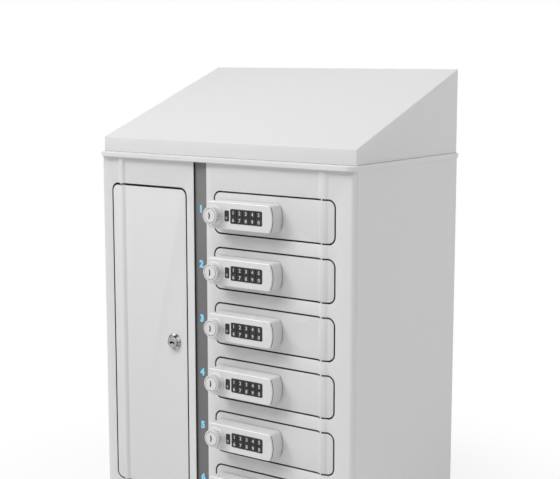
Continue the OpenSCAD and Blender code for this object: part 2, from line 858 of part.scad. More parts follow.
// Rubber key mat: ten keys and a clear key on one web behind the face plate
module keypad(i) {
    key_w = (pad_w - 2 * window_clear - (key_cols - 1) * key_gap) / key_cols;
    key_h = (pad_h - 2 * window_clear - (key_rows - 1) * key_gap) / key_rows;
    key_y0 = plate_y - 0.4;
    web_y0 = case_y + 0.1;
    rim_y0 = plate_y + 1;
    color(key_black) at_lock(i) {
        slab(mat_x0, mat_x1, -mat_h / 2, mat_h / 2, 1.5, web_y0, web_y0 + mat_t);
        along_y(rim_y0, web_y0 + eps) pad_window(-window_clear);
        for (c = [0:key_cols - 1], r = [0:key_rows - 1]) {
            x = pad_offset + window_clear + c * (key_w + key_gap);
            z = -pad_h / 2 + window_clear + r * (key_h + key_gap);
            slab(x, x + key_w, z, z + key_h, 1, key_y0, rim_y0 + eps);
        }
        along_y(key_y0, web_y0 + eps) clear_window(-window_clear);
    }
}

// Knob with a flared foot, fluted grip, core pocket and the lock's spindle
module knob(i) {
    foot_y = plate_y - knob_gap;
    grip_y = foot_y - 3;
    nose = 0.8;
    flute_r = 1.1;
    color(lock_white) at_lock(i) difference() {
        union() {
            turned([[0, foot_y], [collar_r, foot_y], [collar_r, foot_y - 1], [knob_r - 0.3, grip_y],
                    [knob_r, grip_y], [knob_r, knob_y + nose], [knob_r - nose, knob_y], [0, knob_y]]);
            rod_y(0, 0, foot_y - eps, cam_y, spindle_r);
            rod_y(0, 0, cam_y - eps, cam_y + cam_t - 0.1, cam_seat_r);
        }
        for (k = [0:flutes - 1]) rotate([0, k * 360 / flutes, 0])
            rod_y(knob_r + flute_r * 0.55, 0, knob_y - eps, grip_y - 0.5, flute_r, $fn = 24);
        rod_y(0, 0, knob_y - eps, knob_y + core_t, core_r + core_gap);
        rod_y(0, 0, knob_y, knob_y + core_t + stem_l + 0.3, stem_r + spindle_clear);
        rod_y(0, 0, cam_y - 8, cam_y + cam_t, 2);
    }
}

// Key slot in the face of a core: two short cuts that meet at an angle
module key_slot(length, width, depth, bend) {
    for (s = [-1, 1]) rotate([0, s * bend, 0])
        block(-width / 2, width / 2, -eps, depth, s > 0 ? -eps : -length / 2, s > 0 ? length / 2 : eps);
}

module key_core(i) {
    stand = 0.3;
    color(lock_white) at_lock(i) difference() {
        union() {
            turned([[0, knob_y - stand], [core_r - 0.5, knob_y - stand], [core_r, knob_y],
                    [core_r, knob_y + core_t - 0.1], [0, knob_y + core_t - 0.1]]);
            rod_y(0, 0, knob_y, knob_y + core_t + stem_l, stem_r);
        }
        translate([0, knob_y - stand, 0]) key_slot(8, 1.8, 5, 14);
    }
}

// Flat cam with a round tip, pointing down at rest, and its screw
module cam_plate(reach, w, hub, y0, seat) {
    difference() {
        along_y(y0, y0 + cam_t) difference() {
            union() {
                circle(r = hub);
                translate([-w / 2, -reach + w / 2]) square([w, reach - w / 2]);
                translate([0, -reach + w / 2]) circle(r = w / 2);
            }
            circle(r = seat + 0.05);
        }
    }
}

module cam_screw(y0, seat) {
    rod_y(0, 0, y0 + cam_t, y0 + cam_t + 2.2, seat + 0.6);
    rod_y(0, 0, y0 - 6, y0 + cam_t + eps, 1.9);
}

module latch_cam(i) {
    color(steel) at_lock(i) {
        cam_plate(cam_reach, cam_w, 7.5, cam_y, cam_seat_r);
        cam_screw(cam_y, cam_seat_r);
    }
}

// ----------------------------------------------------------- service lock

module at_service_lock() {
    translate([service_lock_x, front, service_lock_z]) children();
}

// Barrel with a bezel and a ribbed neck, through the service door
module service_lock_barrel() {
    bezel_t = 2.2;
    neck_r = bezel_r - 2;
    ribs = 16;
    color(steel) at_service_lock() difference() {
        turned([[0, service_cam_y - 1], [service_barrel_r, service_cam_y - 1], [service_barrel_r, 0],
                [bezel_r, 0], [bezel_r, -bezel_t + 0.6], [bezel_r - 0.6, -bezel_t],
                [neck_r, -bezel_t], [neck_r, -bezel_h + 1], [neck_r - 1, -bezel_h], [0, -bezel_h]]);
        for (k = [0:ribs - 1]) rotate([0, (k + 0.5) * 360 / ribs, 0])
            rod_y(neck_r + 0.6, 0, -bezel_h - eps, -bezel_t - 0.5, 1, $fn = 24);
        rod_y(0, 0, -bezel_h - eps, service_cam_y, plug_r + plug_clear);
    }
}

module service_lock_nut() {
    nut_af = 23;
    nut_t = 4;
    color(steel) at_service_lock() difference() {
        translate([0, sheet + nut_t, 0]) rotate([90, 0, 0])
            cylinder(h = nut_t, r = nut_af / sqrt(3), $fn = 6);
        rod_y(0, 0, sheet - eps, sheet + nut_t + eps, service_barrel_r + 0.1);
    }
}

module service_lock_plug() {
    color(steel) at_service_lock() difference() {
        union() {
            rod_y(0, 0, -bezel_h + 0.4, service_cam_y, plug_r);
            rod_y(0, 0, service_cam_y - eps, service_cam_y + cam_t - 0.1, cam_seat_r);
        }
        translate([0, -bezel_h + 0.4, 0]) rotate([0, 90, 0]) key_slot(7.5, 1.8, 6, 10);
        rod_y(0, 0, service_cam_y - 8, service_cam_y + cam_t, 2);
    }
}

module service_lock_cam() {
    color(steel) at_service_lock() {
        cam_plate(service_cam_reach, cam_w, 8, service_cam_y, cam_seat_r);
        cam_screw(service_cam_y, cam_seat_r);
    }
}

// ------------------------------------------------------------------ nodes

front_frame();
side_left();
side_right();
back_panel();
base_panel();
cornice();
sloped_top();
divider_wall();
shelves();
bay_strikes();
service_strike();
number_strip();
hinge_rods();
hinge_washers();
service_door();
service_lock_barrel();
service_lock_nut();
service_lock_plug();
service_lock_cam();
cable_grommets();
charging_hub();
power_inlet();
fasteners();
for (i = [1:bays]) {
    door(i);
    lock_case(i);
    keypad(i);
    knob(i);
    key_core(i);
    latch_cam(i);
}
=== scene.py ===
"""Phone locker with keypad locks: finishes, formed edges, locks, numbers and studio."""
import json
import math

import bmesh
import bpy
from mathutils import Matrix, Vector

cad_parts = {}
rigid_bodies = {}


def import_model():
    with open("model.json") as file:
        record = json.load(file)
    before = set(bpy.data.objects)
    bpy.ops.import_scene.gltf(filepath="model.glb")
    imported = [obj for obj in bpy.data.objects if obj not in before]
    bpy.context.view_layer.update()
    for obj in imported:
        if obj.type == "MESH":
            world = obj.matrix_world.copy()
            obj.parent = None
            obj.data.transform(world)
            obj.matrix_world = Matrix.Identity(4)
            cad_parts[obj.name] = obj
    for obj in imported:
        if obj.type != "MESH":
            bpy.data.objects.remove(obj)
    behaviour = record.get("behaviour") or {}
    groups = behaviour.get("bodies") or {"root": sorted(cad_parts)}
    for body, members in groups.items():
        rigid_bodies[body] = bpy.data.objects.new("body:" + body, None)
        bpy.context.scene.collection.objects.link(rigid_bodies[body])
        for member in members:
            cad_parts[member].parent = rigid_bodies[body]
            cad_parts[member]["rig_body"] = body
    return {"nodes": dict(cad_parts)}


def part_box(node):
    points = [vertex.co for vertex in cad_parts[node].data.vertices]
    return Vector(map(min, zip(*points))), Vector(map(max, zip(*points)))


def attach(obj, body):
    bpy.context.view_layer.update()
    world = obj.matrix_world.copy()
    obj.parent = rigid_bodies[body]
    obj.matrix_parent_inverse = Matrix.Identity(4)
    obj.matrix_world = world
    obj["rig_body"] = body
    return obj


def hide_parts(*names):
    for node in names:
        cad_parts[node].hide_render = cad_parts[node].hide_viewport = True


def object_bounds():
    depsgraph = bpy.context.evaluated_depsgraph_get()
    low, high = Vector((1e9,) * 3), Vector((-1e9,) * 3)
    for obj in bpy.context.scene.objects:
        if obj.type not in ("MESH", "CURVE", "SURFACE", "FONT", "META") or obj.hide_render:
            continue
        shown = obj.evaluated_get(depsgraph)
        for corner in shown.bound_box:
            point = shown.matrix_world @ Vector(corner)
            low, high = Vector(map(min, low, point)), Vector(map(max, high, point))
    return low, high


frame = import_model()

bl_info = {
    "name": "Phone Locker Dressing",
    "version": (1, 0, 0),
    "blender": (4, 5, 0),
    "location": "3D View > Sidebar > Locker",
    "description": "Finishes, locks, numbers and studio for the phone locker",
    "category": "Object",
}

MM = 0.001
BAYS = 6
CAD_BOX = [list(corner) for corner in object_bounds()]


def tint(red, green, blue):
    """A screen colour, 0 to 255 each, as the linear colour that a material takes."""
    def channel(value):
        value /= 255
        return value / 12.92 if value <= 0.04045 else ((value + 0.055) / 1.055) ** 2.4
    return channel(red), channel(green), channel(blue)


def grey(value):
    return tint(value, value, value)


# ---- settings ----

def colour(name, description, default):
    return bpy.props.FloatVectorProperty(
        name=name, description=description, default=default,
        size=3, min=0, max=1, subtype="COLOR")


def length(name, description, default, low, high):
    """A length, given in millimetres and kept in metres."""
    return bpy.props.FloatProperty(
        name=name, description=description, default=default * MM,
        min=low * MM, max=high * MM, precision=5, unit="LENGTH")


def power(name, description, default):
    return bpy.props.FloatProperty(
        name=name, description=description, default=default, min=0, unit="POWER")


class LockerPaint(bpy.types.PropertyGroup):
    cabinet: colour("Cabinet", "Powder coat of the cabinet", grey(226))
    doors: colour("Small doors", "Powder coat of the small doors", grey(220))
    # painted shade: dark grey for the returns inside the door gaps, the wall beside the number strip
    # and the hood's foot, where shade falls
    returns: colour("Returns", "Thin coat on the returns inside the door gaps", grey(56))
    strip: colour("Number strip", "Film on the number strip", grey(122))
    number: colour("Numbers", "Ink of the compartment numbers", tint(140, 226, 255))
    grain: length("Paint grain", "Size of the powder coat's texture", 1.1, 0.2, 4)
    fold: length("Fold radius", "Outer radius of the folded edges", 0.35, 0.1, 1.2)


class LockerLocks(bpy.types.PropertyGroup):
    shell: colour("Lock case", "Moulded lock case and knob", grey(227))
    keys: colour("Keys", "Rubber of the keys", grey(34))
    figure: colour("Key figures", "Print on the keys", grey(226))
    figure_height: length("Key figure height", "Height of the figures on the keys", 4.6, 2, 6)
    ease: length("Face edge", "Rounded edge of the lock's face", 0.9, 0.2, 1.4)
    flutes: bpy.props.IntProperty(
        name="Flutes", description="Flutes round each knob", default=20, min=8, max=40)


class LockerNumbers(bpy.types.PropertyGroup):
    height: length("Number height", "Height of the compartment numbers", 10.4, 6, 14)
    boldness: length("Boldness", "How far the strokes are thickened", 0.85, 0, 1.2)
    rise: length("Rise", "Height of a number above its door's middle", 2.0, -5, 5)


class LockerStudio(bpy.types.PropertyGroup):
    floor: colour("Floor", "Colour of the studio floor", grey(236))
    key_power: power("Key light", "Power of the main soft light", 108)
    top_power: power("Top light", "Power of the soft light overhead", 33)
    fill_power: power("Fill light", "Power of the soft light on the right", 15.5)
    back_power: power("Back light", "Power of the soft light behind", 26)
    sky: bpy.props.FloatProperty(
        name="Sky", description="Strength of the light from all round", default=0.17, min=0, max=2)


# ---- materials ----

class Val:
    """An output socket of a material, whose maths is written as Python."""

    def __init__(self, finish, socket):
        self.finish = finish
        self.socket = socket

    def maths(self, operation, *terms):
        """The result of an operation on the given terms."""
        return self.finish.node("ShaderNodeMath", {"operation": operation}, dict(enumerate(terms)))

    def __add__(self, other):
        return self.maths("ADD", self, other)

    def __sub__(self, other):
        return self.maths("SUBTRACT", self, other)

    def __rsub__(self, other):
        return self.maths("SUBTRACT", other, self)

    def __mul__(self, other):
        return self.maths("MULTIPLY", self, other)

    def __truediv__(self, other):
        return self.maths("DIVIDE", self, other)

    __radd__, __rmul__ = __add__, __mul__


class Finish:
    """Builds the nodes of one material, or of the world."""

    def __init__(self, name, kind="materials"):
        self.material = getattr(bpy.data, kind).new(name)
        self.material.use_nodes = True
        self.tree = self.material.node_tree
        self.tree.nodes.clear()

    def node(self, kind, settings=None, sockets=None, out=0):
        """Adds a node: its settings first, then the values or links of its sockets."""
        made = self.tree.nodes.new(kind)
        for key, value in (settings or {}).items():
            setattr(made, key, value)
        for key, value in (sockets or {}).items():
            if isinstance(value, Val):
                self.tree.links.new(value.socket, made.inputs[key])
            elif made.inputs[key].type == "RGBA" and len(value) == 3:
                made.inputs[key].default_value = (*value, 1)
            else:
                made.inputs[key].default_value = value
        return Val(self, made.outputs[out])

    def place(self):
        """Position in the piece's own frame, in metres."""
        return self.node("ShaderNodeTexCoord", out="Object")

    def along(self, axis):
        """Position along one axis of the piece's own frame."""
        return self.node("ShaderNodeSeparateXYZ", {}, {0: self.place()}, out=axis)

    def fade(self, value, low, high, start, end):
        """Eases from start, where the value is low, to end, where it is high."""
        return self.node("ShaderNodeMapRange", {"interpolation_type": "SMOOTHSTEP"},
                         {"Value": value, "From Min": low, "From Max": high,
                          "To Min": start, "To Max": end})

    def ramp(self, value, stops):
        """Colour at a value between 0 and 1, from (place, tone) stops."""
        made = self.node("ShaderNodeValToRGB", {}, {"Fac": value}, out="Color")
        elements = made.socket.node.color_ramp.elements
        for index, (at, tone) in enumerate(stops):
            stop = elements[index] if index < 2 else elements.new(at)
            stop.position = at
            stop.color = (*grey(tone), 1)
        return made

    def noise(self, size, detail=2.0, stretch=(1, 1, 1)):
        """Soft noise between 0 and 1 whose marks are about size across."""
        at = self.node("ShaderNodeVectorMath", {"operation": "MULTIPLY"},
                       {0: self.place(), 1: stretch})
        return self.node("ShaderNodeTexNoise", {},
                         {"Vector": at, "Scale": 1 / size, "Detail": detail})

    def mix(self, factor, first, second):
        return self.node("ShaderNodeMix", {"data_type": "RGBA"},
                         {0: factor, 6: first, 7: second}, out=2)

    def shaded(self, base, factor):
        """A colour made lighter or darker by a factor that varies."""
        return self.node("ShaderNodeVectorMath", {"operation": "SCALE"},
                         {0: tuple(base), "Scale": factor})

    def bump(self, height, depth, strength, **over):
        return self.node("ShaderNodeBump", {},
                         {"Height": height, "Distance": depth, "Strength": strength, **over})

    def principled(self, **values):
        sockets = {key.replace("_", " "): value for key, value in values.items()}
        self.output(self.node("ShaderNodeBsdfPrincipled", {}, sockets))
        return self.material

    def shown(self):
        """1 for what the eye sees directly, in a gloss or through glass, and 0 for other light."""
        camera, glossy, through = (self.node("ShaderNodeLightPath", out=f"Is {ray} Ray")
                                   for ray in ("Camera", "Glossy", "Transmission"))
        return camera.maths("MAXIMUM", camera, glossy.maths("MAXIMUM", glossy, through))

    def output(self, shader, kind="ShaderNodeOutputMaterial"):
        output = self.tree.nodes.new(kind)
        self.tree.links.new(shader.socket, output.inputs["Surface"])


def powder_coat(name, base, grain):
    """Oven-cured powder coat on pressed sheet: fine orange peel over slow waves in the sheet."""
    finish = Finish(name)
    peel = finish.noise(grain, 1.5)
    sheet_wave = finish.noise(90 * MM, 1)
    cloud = finish.noise(22 * MM, 2)
    base = finish.shaded(base, 0.985 + 0.02 * cloud + 0.012 * peel)
    relief = finish.bump(sheet_wave, 0.4 * MM, 0.35)
    return finish.principled(Base_Color=base, Roughness=0.4 + 0.12 * cloud,
                             Normal=finish.bump(peel, 0.06 * MM, 0.5, Normal=relief),
                             Specular_IOR_Level=0.4)


def moulded(name, base, roughness, grain, depth):
    """Moulded plastic with a fine spark-eroded texture."""
    finish = Finish(name)
    spark = finish.noise(grain, 2)
    flow = finish.noise(11 * MM, 1)
    base = finish.shaded(base, 0.985 + 0.022 * flow)
    return finish.principled(Base_Color=base, Roughness=roughness + 0.08 * spark,
                             Normal=finish.bump(spark, depth, 0.5))


def key_rubber(name, base):
    """Silicone keys: satin black with a trace of dust in the grain."""
    finish = Finish(name)
    grain = finish.noise(0.35 * MM, 2)
    dust = finish.noise(4 * MM, 2)
    base = finish.shaded(base, 0.9 + 0.25 * dust)
    return finish.principled(Base_Color=base, Roughness=0.44 + 0.14 * grain,
                             Normal=finish.bump(grain, 0.02 * MM, 0.4))


def satin_film(name, base):
    """Printed film: an even tone that darkens slightly below the upper doors."""
    finish = Finish(name)
    fade = finish.fade(finish.along("Z"), 280 * MM, 500 * MM, 0.81, 1.05)
    pore = finish.noise(0.6 * MM, 2)
    base = finish.shaded(base, fade + 0.03 * pore)
    return finish.principled(Base_Color=base, Roughness=0.5 + 0.1 * pore,
                             Normal=finish.bump(pore, 0.008 * MM, 0.4))


def zinc(name):
    """Zinc-plated steel with faint spangle and fine scratches."""
    finish = Finish(name)
    spangle = finish.node("ShaderNodeTexVoronoi", {},
                          {"Vector": finish.place(), "Scale": 1 / (3 * MM)}, out="Color")
    tone = finish.node("ShaderNodeSeparateXYZ", {}, {0: spangle}, out=0)
    scratch = finish.noise(0.3 * MM, 3, (1, 1, 0.06))
    base = finish.mix(tone, tint(176, 180, 184), tint(205, 207, 209))
    return finish.principled(Base_Color=base, Metallic=0.92, Roughness=0.34 + 0.14 * scratch,
                             Normal=finish.bump(scratch, 0.006 * MM, 0.5))


def chrome(name):
    """Bright nickel chrome, with light handling marks in its gloss."""
    finish = Finish(name)
    mark = finish.noise(2.5 * MM, 3)
    return finish.principled(Base_Color=grey(170), Metallic=1.0, Roughness=0.3 + 0.1 * mark)


# painted reflections: tones of the streaks round the neck, in turns from its left side by way of its
# foot
CHROME_STREAKS = (
    (0.0, 190), (0.25, 135), (0.36, 200), (0.42, 130), (0.49, 175), (0.505, 85),
    (0.53, 165), (0.61, 205), (0.65, 60), (0.7, 60), (0.76, 190), (0.86, 95))


def turned_chrome(name):
    """Chrome on a ribbed neck, with painted reflections: bright and dark streaks round its axis."""
    finish = Finish(name)
    x, z = finish.along("X"), finish.along("Z")
    turn = x.maths("ARCTAN2", z, x) / (2 * math.pi) + 0.5
    streaks = finish.ramp(turn, CHROME_STREAKS)
    mark = finish.noise(2.5 * MM, 3)
    return finish.principled(Base_Color=streaks, Metallic=1.0, Roughness=0.26 + 0.1 * mark)


def drawn_rod(name):
    """Bright drawn steel, with fine lines along its length."""
    finish = Finish(name)
    line = finish.noise(0.4 * MM, 2, (1, 1, 0.02))
    base = finish.shaded(grey(212), 0.94 + 0.1 * line)
    return finish.principled(Base_Color=base, Metallic=0.9, Roughness=0.2 + 0.12 * line)


def grommet_rubber(name):
    finish = Finish(name)
    bloom = finish.noise(2 * MM, 3)
    base = finish.mix(bloom, grey(24), grey(38))
    return finish.principled(Base_Color=base, Roughness=0.62 + 0.12 * bloom,
                             Normal=finish.bump(bloom, 0.05 * MM, 0.3))


def ink(name, base):
    """Screen-printed ink: a flat tone with a slightly uneven film."""
    finish = Finish(name)
    film = finish.noise(0.8 * MM, 2)
    return finish.principled(Base_Color=finish.shaded(base, 0.96 + 0.06 * film),
                             Roughness=0.42 + 0.1 * film)


def keyway(name):
    """Painted shade inside a key slot: near black, with lighter brass-grey patches for its wards."""
    finish = Finish(name)
    ward = finish.noise(0.7 * MM, 1)
    return finish.principled(Base_Color=finish.mix(ward, grey(14), grey(36)),
                             Metallic=0.3, Roughness=0.6)


def worn_washer(name):
    """Black washers with a painted highlight: a bright line down their fronts."""
    finish = Finish(name)
    x = finish.along("X")
    # painted highlight: near white and glossier in a narrow band beside each hinge line
    glint = 0.0
    for axis in HINGES:
        from_line = x.maths("ABSOLUTE", x - (axis - 0.4 * MM))
        glint = glint + finish.fade(from_line, 0.8 * MM, 1.3 * MM, 1.0, 0.0)
    return finish.principled(Base_Color=finish.mix(glint, grey(24), grey(240)),
                             Roughness=0.3 - 0.1 * glint)


class Finishes:
    """The locker's finishes, made once and shared by its pieces."""
    made = {}

    @classmethod
    def get(cls, context, name):
        if name not in cls.made:
            paint, locks = context.scene.locker_paint, context.scene.locker_locks
            recipes = {
                "cabinet_coat": (powder_coat, paint.cabinet, paint.grain),
                "door_coat": (powder_coat, paint.doors, paint.grain),
                # painted shade in the door gaps, beside the number strip and at the hood's foot
                "thin_coat": (powder_coat, paint.returns, paint.grain),
                # painted shade, near black, in the service door's gaps
                "bare_edge": (powder_coat, grey(14), paint.grain),
                "lock_shell": (moulded, locks.shell, 0.24, 0.5 * MM, 0.004 * MM),
                # painted highlight along the lock plate's upper edge
                "lock_rim": (moulded, grey(254), 0.2, 0.5 * MM, 0.002 * MM),
                # painted shade in the lock's joints, at the door and in the knob's pocket
                "lock_joint": (moulded, grey(28), 0.6, 0.5 * MM, 0.01 * MM),
                "key_rubber": (key_rubber, locks.keys),
                "key_print": (ink, locks.figure),
                "strip_film": (satin_film, paint.strip),
                "number_ink": (ink, paint.number),
                "zinc_plate": (zinc,),
                "lock_chrome": (chrome,),
                "turned_chrome": (turned_chrome,),
                "drawn_rod": (drawn_rod,),
                "worn_washer": (worn_washer,),
                "grommet_rubber": (grommet_rubber,),
                "hub_shell": (moulded, grey(46), 0.5, 0.9 * MM, 0.04 * MM),
                "inlet_shell": (moulded, grey(36), 0.42, 0.7 * MM, 0.02 * MM),
                "keyway": (keyway,),
            }
            maker, *values = recipes[name]
            cls.made[name] = maker(name, *values)
        return cls.made[name]


PLAIN_PARTS = {
    "cabinet_coat": ("side_left", "side_right", "back_panel", "base_panel", "cornice",
                     "divider_wall", "shelves"),
    "strip_film": ("number_strip",),
    "drawn_rod": ("hinge_rods",),
    "worn_washer": ("hinge_washers",),
    "zinc_plate": ("service_lock_nut", "service_lock_cam", "service_strike", "bay_strikes",
                   "fasteners", *(f"latch_cam_{bay}" for bay in range(1, BAYS + 1))),
    "hub_shell": ("charging_hub",),
    "inlet_shell": ("power_inlet",),
    "grommet_rubber": ("cable_grommets",),
}


def coat_node(context, node, finish):
    """Gives a CAD node a finish in every material slot."""
    slots = frame["nodes"][node].data.materials
    for index in range(len(slots)):
        slots[index] = Finishes.get(context, finish)
    if not slots:
        slots.append(Finishes.get(context, finish))


# ---- mesh tools ----

# edges that turn by more than this are drawn sharp
SHARP = math.radians(32)
QUARTER = math.pi / 2
# sides of small round parts
SMALL = 36


def polar(radius, turn):
    return radius * math.cos(turn), radius * math.sin(turn)


def arc(cx, cz, radius, start, end, steps, skip=0):
    """Points on an arc in X and Z, without the first ones to skip."""
    points = [polar(radius, start + (end - start) * k / steps) for k in range(skip, steps + 1)]
    return [(cx + x, cz + z) for x, z in points]


def rounded_box(x0, x1, z0, z1, radius):
    """Outline of a rounded rectangle, as a function of its inset."""
    def outline(inset=0.0):
        points = []
        left, right, low, high = x0 + radius, x1 - radius, z0 + radius, z1 - radius
        turn = max(radius - inset, 0.01 * MM)
        for k, centre in enumerate(((right, high), (left, high), (left, low), (right, low))):
            points += arc(*centre, turn, k * QUARTER, (k + 1) * QUARTER, 6)
        return points
    return outline


def disc(radius, steps=48):
    """Outline of a disc on the axis, as a function of its inset."""
    def outline(inset=0.0):
        return [polar(radius - inset, 2 * math.pi * k / steps) for k in range(steps)]
    return outline


def eased_edge(width, steps=4):
    """Quarter round as (inset, depth) pairs, from the face to the side."""
    turns = [QUARTER * k / steps for k in range(steps + 1)]
    return [(width * (1 - math.sin(turn)), width * (1 - math.cos(turn))) for turn in turns]


def eased_from(y, width, steps=3):
    """The same as (inset, y) pairs, for a face at y."""
    return [(inset, y + depth) for inset, depth in eased_edge(width, steps)]


class Piece:
    """Gathers the faces of one piece, which is drawn in X and Z and grows along Y."""

    def __init__(self, name):
        self.name = name
        self.bm = bmesh.new()
        self.finish = 0

    def ring(self, points, y):
        return [self.bm.verts.new((x, y, z)) for x, z in points]

    def circle(self, radius, y, steps=48):
        return self.ring(disc(radius, steps)(), y)

    def wall(self, *rings):
        """Walls from each ring to the next."""
        for first, second in zip(rings, rings[1:]):
            for k in range(len(first)):
                after = (k + 1) % len(first)
                made = self.bm.faces.new((first[k], first[after], second[after], second[k]))
                made.material_index = self.finish

    def loft(self, outline, steps):
        """Walls through (inset, y) steps. Returns the first and last rings."""
        rings = [self.ring(outline(inset), y) for inset, y in steps]
        self.wall(*rings)
        return rings[0], rings[-1]

    def cap(self, *rings):
        """Fills the face between an outer ring and any holes in it."""
        edges = []
        for ring in rings:
            for k, vert in enumerate(ring):
                after = ring[(k + 1) % len(ring)]
                edges.append(self.bm.edges.get((vert, after)) or self.bm.edges.new((vert, after)))
        filled = bmesh.ops.triangle_fill(self.bm, use_beauty=True, use_dissolve=False, edges=edges)
        for item in filled["geom"]:
            if isinstance(item, bmesh.types.BMFace):
                item.material_index = self.finish

    def plate(self, outline, y0, y1, ease=0.0, holes=()):
        """Solid plate from y0, its eased face, to y1. The holes that go through it are (outline,
        ease) pairs."""
        ends = []
        for edge, width, way in ((outline, ease, 1), *((*hole, -1) for hole in holes)):
            steps = eased_from(y0, width, 4) if width else [(0, y0)]
            ends.append(self.loft(edge, [(way * inset, y) for inset, y in steps] + [(0, y1)]))
        for rings in zip(*ends):
            self.cap(*rings)

    def button(self, profile, at, finish):
        """A small closed disc, turned from (radius, y) points round an axis at (x, z)."""
        self.finish = finish
        rings = []
        for radius, y in profile:
            rings.append(self.ring([(at[0] + x, at[1] + z) for x, z in disc(radius, 24)()], y))
        self.wall(*rings)
        self.cap(rings[0])
        self.cap(rings[-1])

    def fluted(self, profile, count, deep, blunt):
        """Turns (radius, y, share) points round the axis. The flutes reach a share of their depth
        deep, and the power blunt shapes them: the lower it is, the wider they are."""
        segments = count * 12
        rings = []
        for radius, y, share in profile:
            turns = [2 * math.pi * k / segments for k in range(segments)]
            cuts = [deep * share * max(0.0, math.cos(count * turn)) ** blunt for turn in turns]
            points = [polar(radius - cut, turn) for cut, turn in zip(cuts, turns)]
            rings.append(self.ring(points, y))
        self.wall(*rings)
        return rings[0], rings[-1]

    def thread(self, radius, half_pitch, end, run_out):
        """Threaded neck behind the door's face. Returns its first and last rings."""
        depth, chamfer = 0.4 * MM, 0.6 * MM
        y = SHEET + depth
        rings = [self.circle(radius, 0), self.circle(radius, y)]
        while y < end - run_out:
            for reach in (radius - depth, radius):
                y += half_pitch
                rings.append(self.circle(reach, y))
        rings.append(self.circle(radius - chamfer, end))
        self.wall(*rings)
        return rings[0], rings[-1]

    def step(self, start, points, y, finish=0):
        """Fills the face inside the ring start, but for the given points. From there a closed
        hole or boss goes on to y, in its own finish."""
        mouth = self.ring(points, start[0].co.y)
        self.cap(start, mouth)
        self.finish = finish
        end = self.ring(points, y)
        self.wall(mouth, end)
        self.cap(end)

    def add(self, mesh, offset):
        """Takes in the faces of a mesh, moved by an offset, in the finish that is set."""
        verts, faces = len(self.bm.verts), len(self.bm.faces)
        self.bm.from_mesh(mesh)
        self.bm.verts.ensure_lookup_table()
        self.bm.faces.ensure_lookup_table()
        for vert in self.bm.verts[verts:]:
            vert.co += offset
        for made in self.bm.faces[faces:]:
            made.material_index = self.finish

    def mesh(self, context, *finishes):
        """The finished mesh. A face's finish number counts in the given names."""
        bmesh.ops.recalc_face_normals(self.bm, faces=self.bm.faces)
        mesh = bpy.data.meshes.new(self.name)
        self.bm.to_mesh(mesh)
        self.bm.free()
        for name in finishes:
            mesh.materials.append(Finishes.get(context, name))
        mesh.polygons.foreach_set("use_smooth", [True] * len(mesh.polygons))
        mesh.set_sharp_from_angle(angle=SHARP)
        return mesh


def evaluated_mesh(holder):
    """The mesh that an object shows with its modifiers or text. The object is removed."""
    bpy.context.view_layer.update()
    shown = holder.evaluated_get(bpy.context.evaluated_depsgraph_get())
    mesh = bpy.data.meshes.new_from_object(shown)
    bpy.data.objects.remove(holder)
    return mesh


def place_piece(name, mesh, body, at=(0, 0, 0), node=None, weighted=True):
    """Puts a piece on its body, in the place of a CAD node if one is given. Its normals are
    weighted by the area of the faces."""
    piece = bpy.data.objects.new(name, mesh)
    piece.location = at
    bpy.context.scene.collection.objects.link(piece)
    if weighted:
        normals = piece.modifiers.new("face_normals", "WEIGHTED_NORMAL")
        normals.keep_sharp = True
    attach(piece, body)
    if node:
        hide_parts(node)


def body_of(node):
    return frame["nodes"][node]["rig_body"]


def place_detailed(node, mesh, at):
    """Puts a detailed piece in the place of a CAD node."""
    place_piece(f"{node}_detailed", mesh, body_of(node), at, node)


def turn_across(edge):
    """Angle between the two faces of an edge, or 0 where it doesn't have two."""
    faces = edge.link_faces
    return faces[0].normal.angle(faces[1].normal, 0) if len(faces) == 2 else 0


def is_curved(face):
    """A narrow facet that turns gently into the next one is part of a curved face."""
    gentle = any(math.radians(0.3) < turn_across(edge) < SHARP for edge in face.edges)
    longest = max(edge.calc_length() for edge in face.edges)
    return gentle and face.calc_area() / longest < 3.5 * MM


def soften_bead(bm):
    """Lowers the bead over the right rods and draws out its right foot."""
    for vert in bm.verts:
        across = vert.co.x - HINGES[1]
        if vert.co.y < FRONT + 0.01 * MM and 0 < across < BEAD_HALF:
            vert.co.x += BEAD_SPREAD * across / BEAD_HALF
        if vert.co.y < FRONT and across > -BEAD_HALF:
            vert.co.y = FRONT + BEAD_SHARE * (vert.co.y - FRONT)


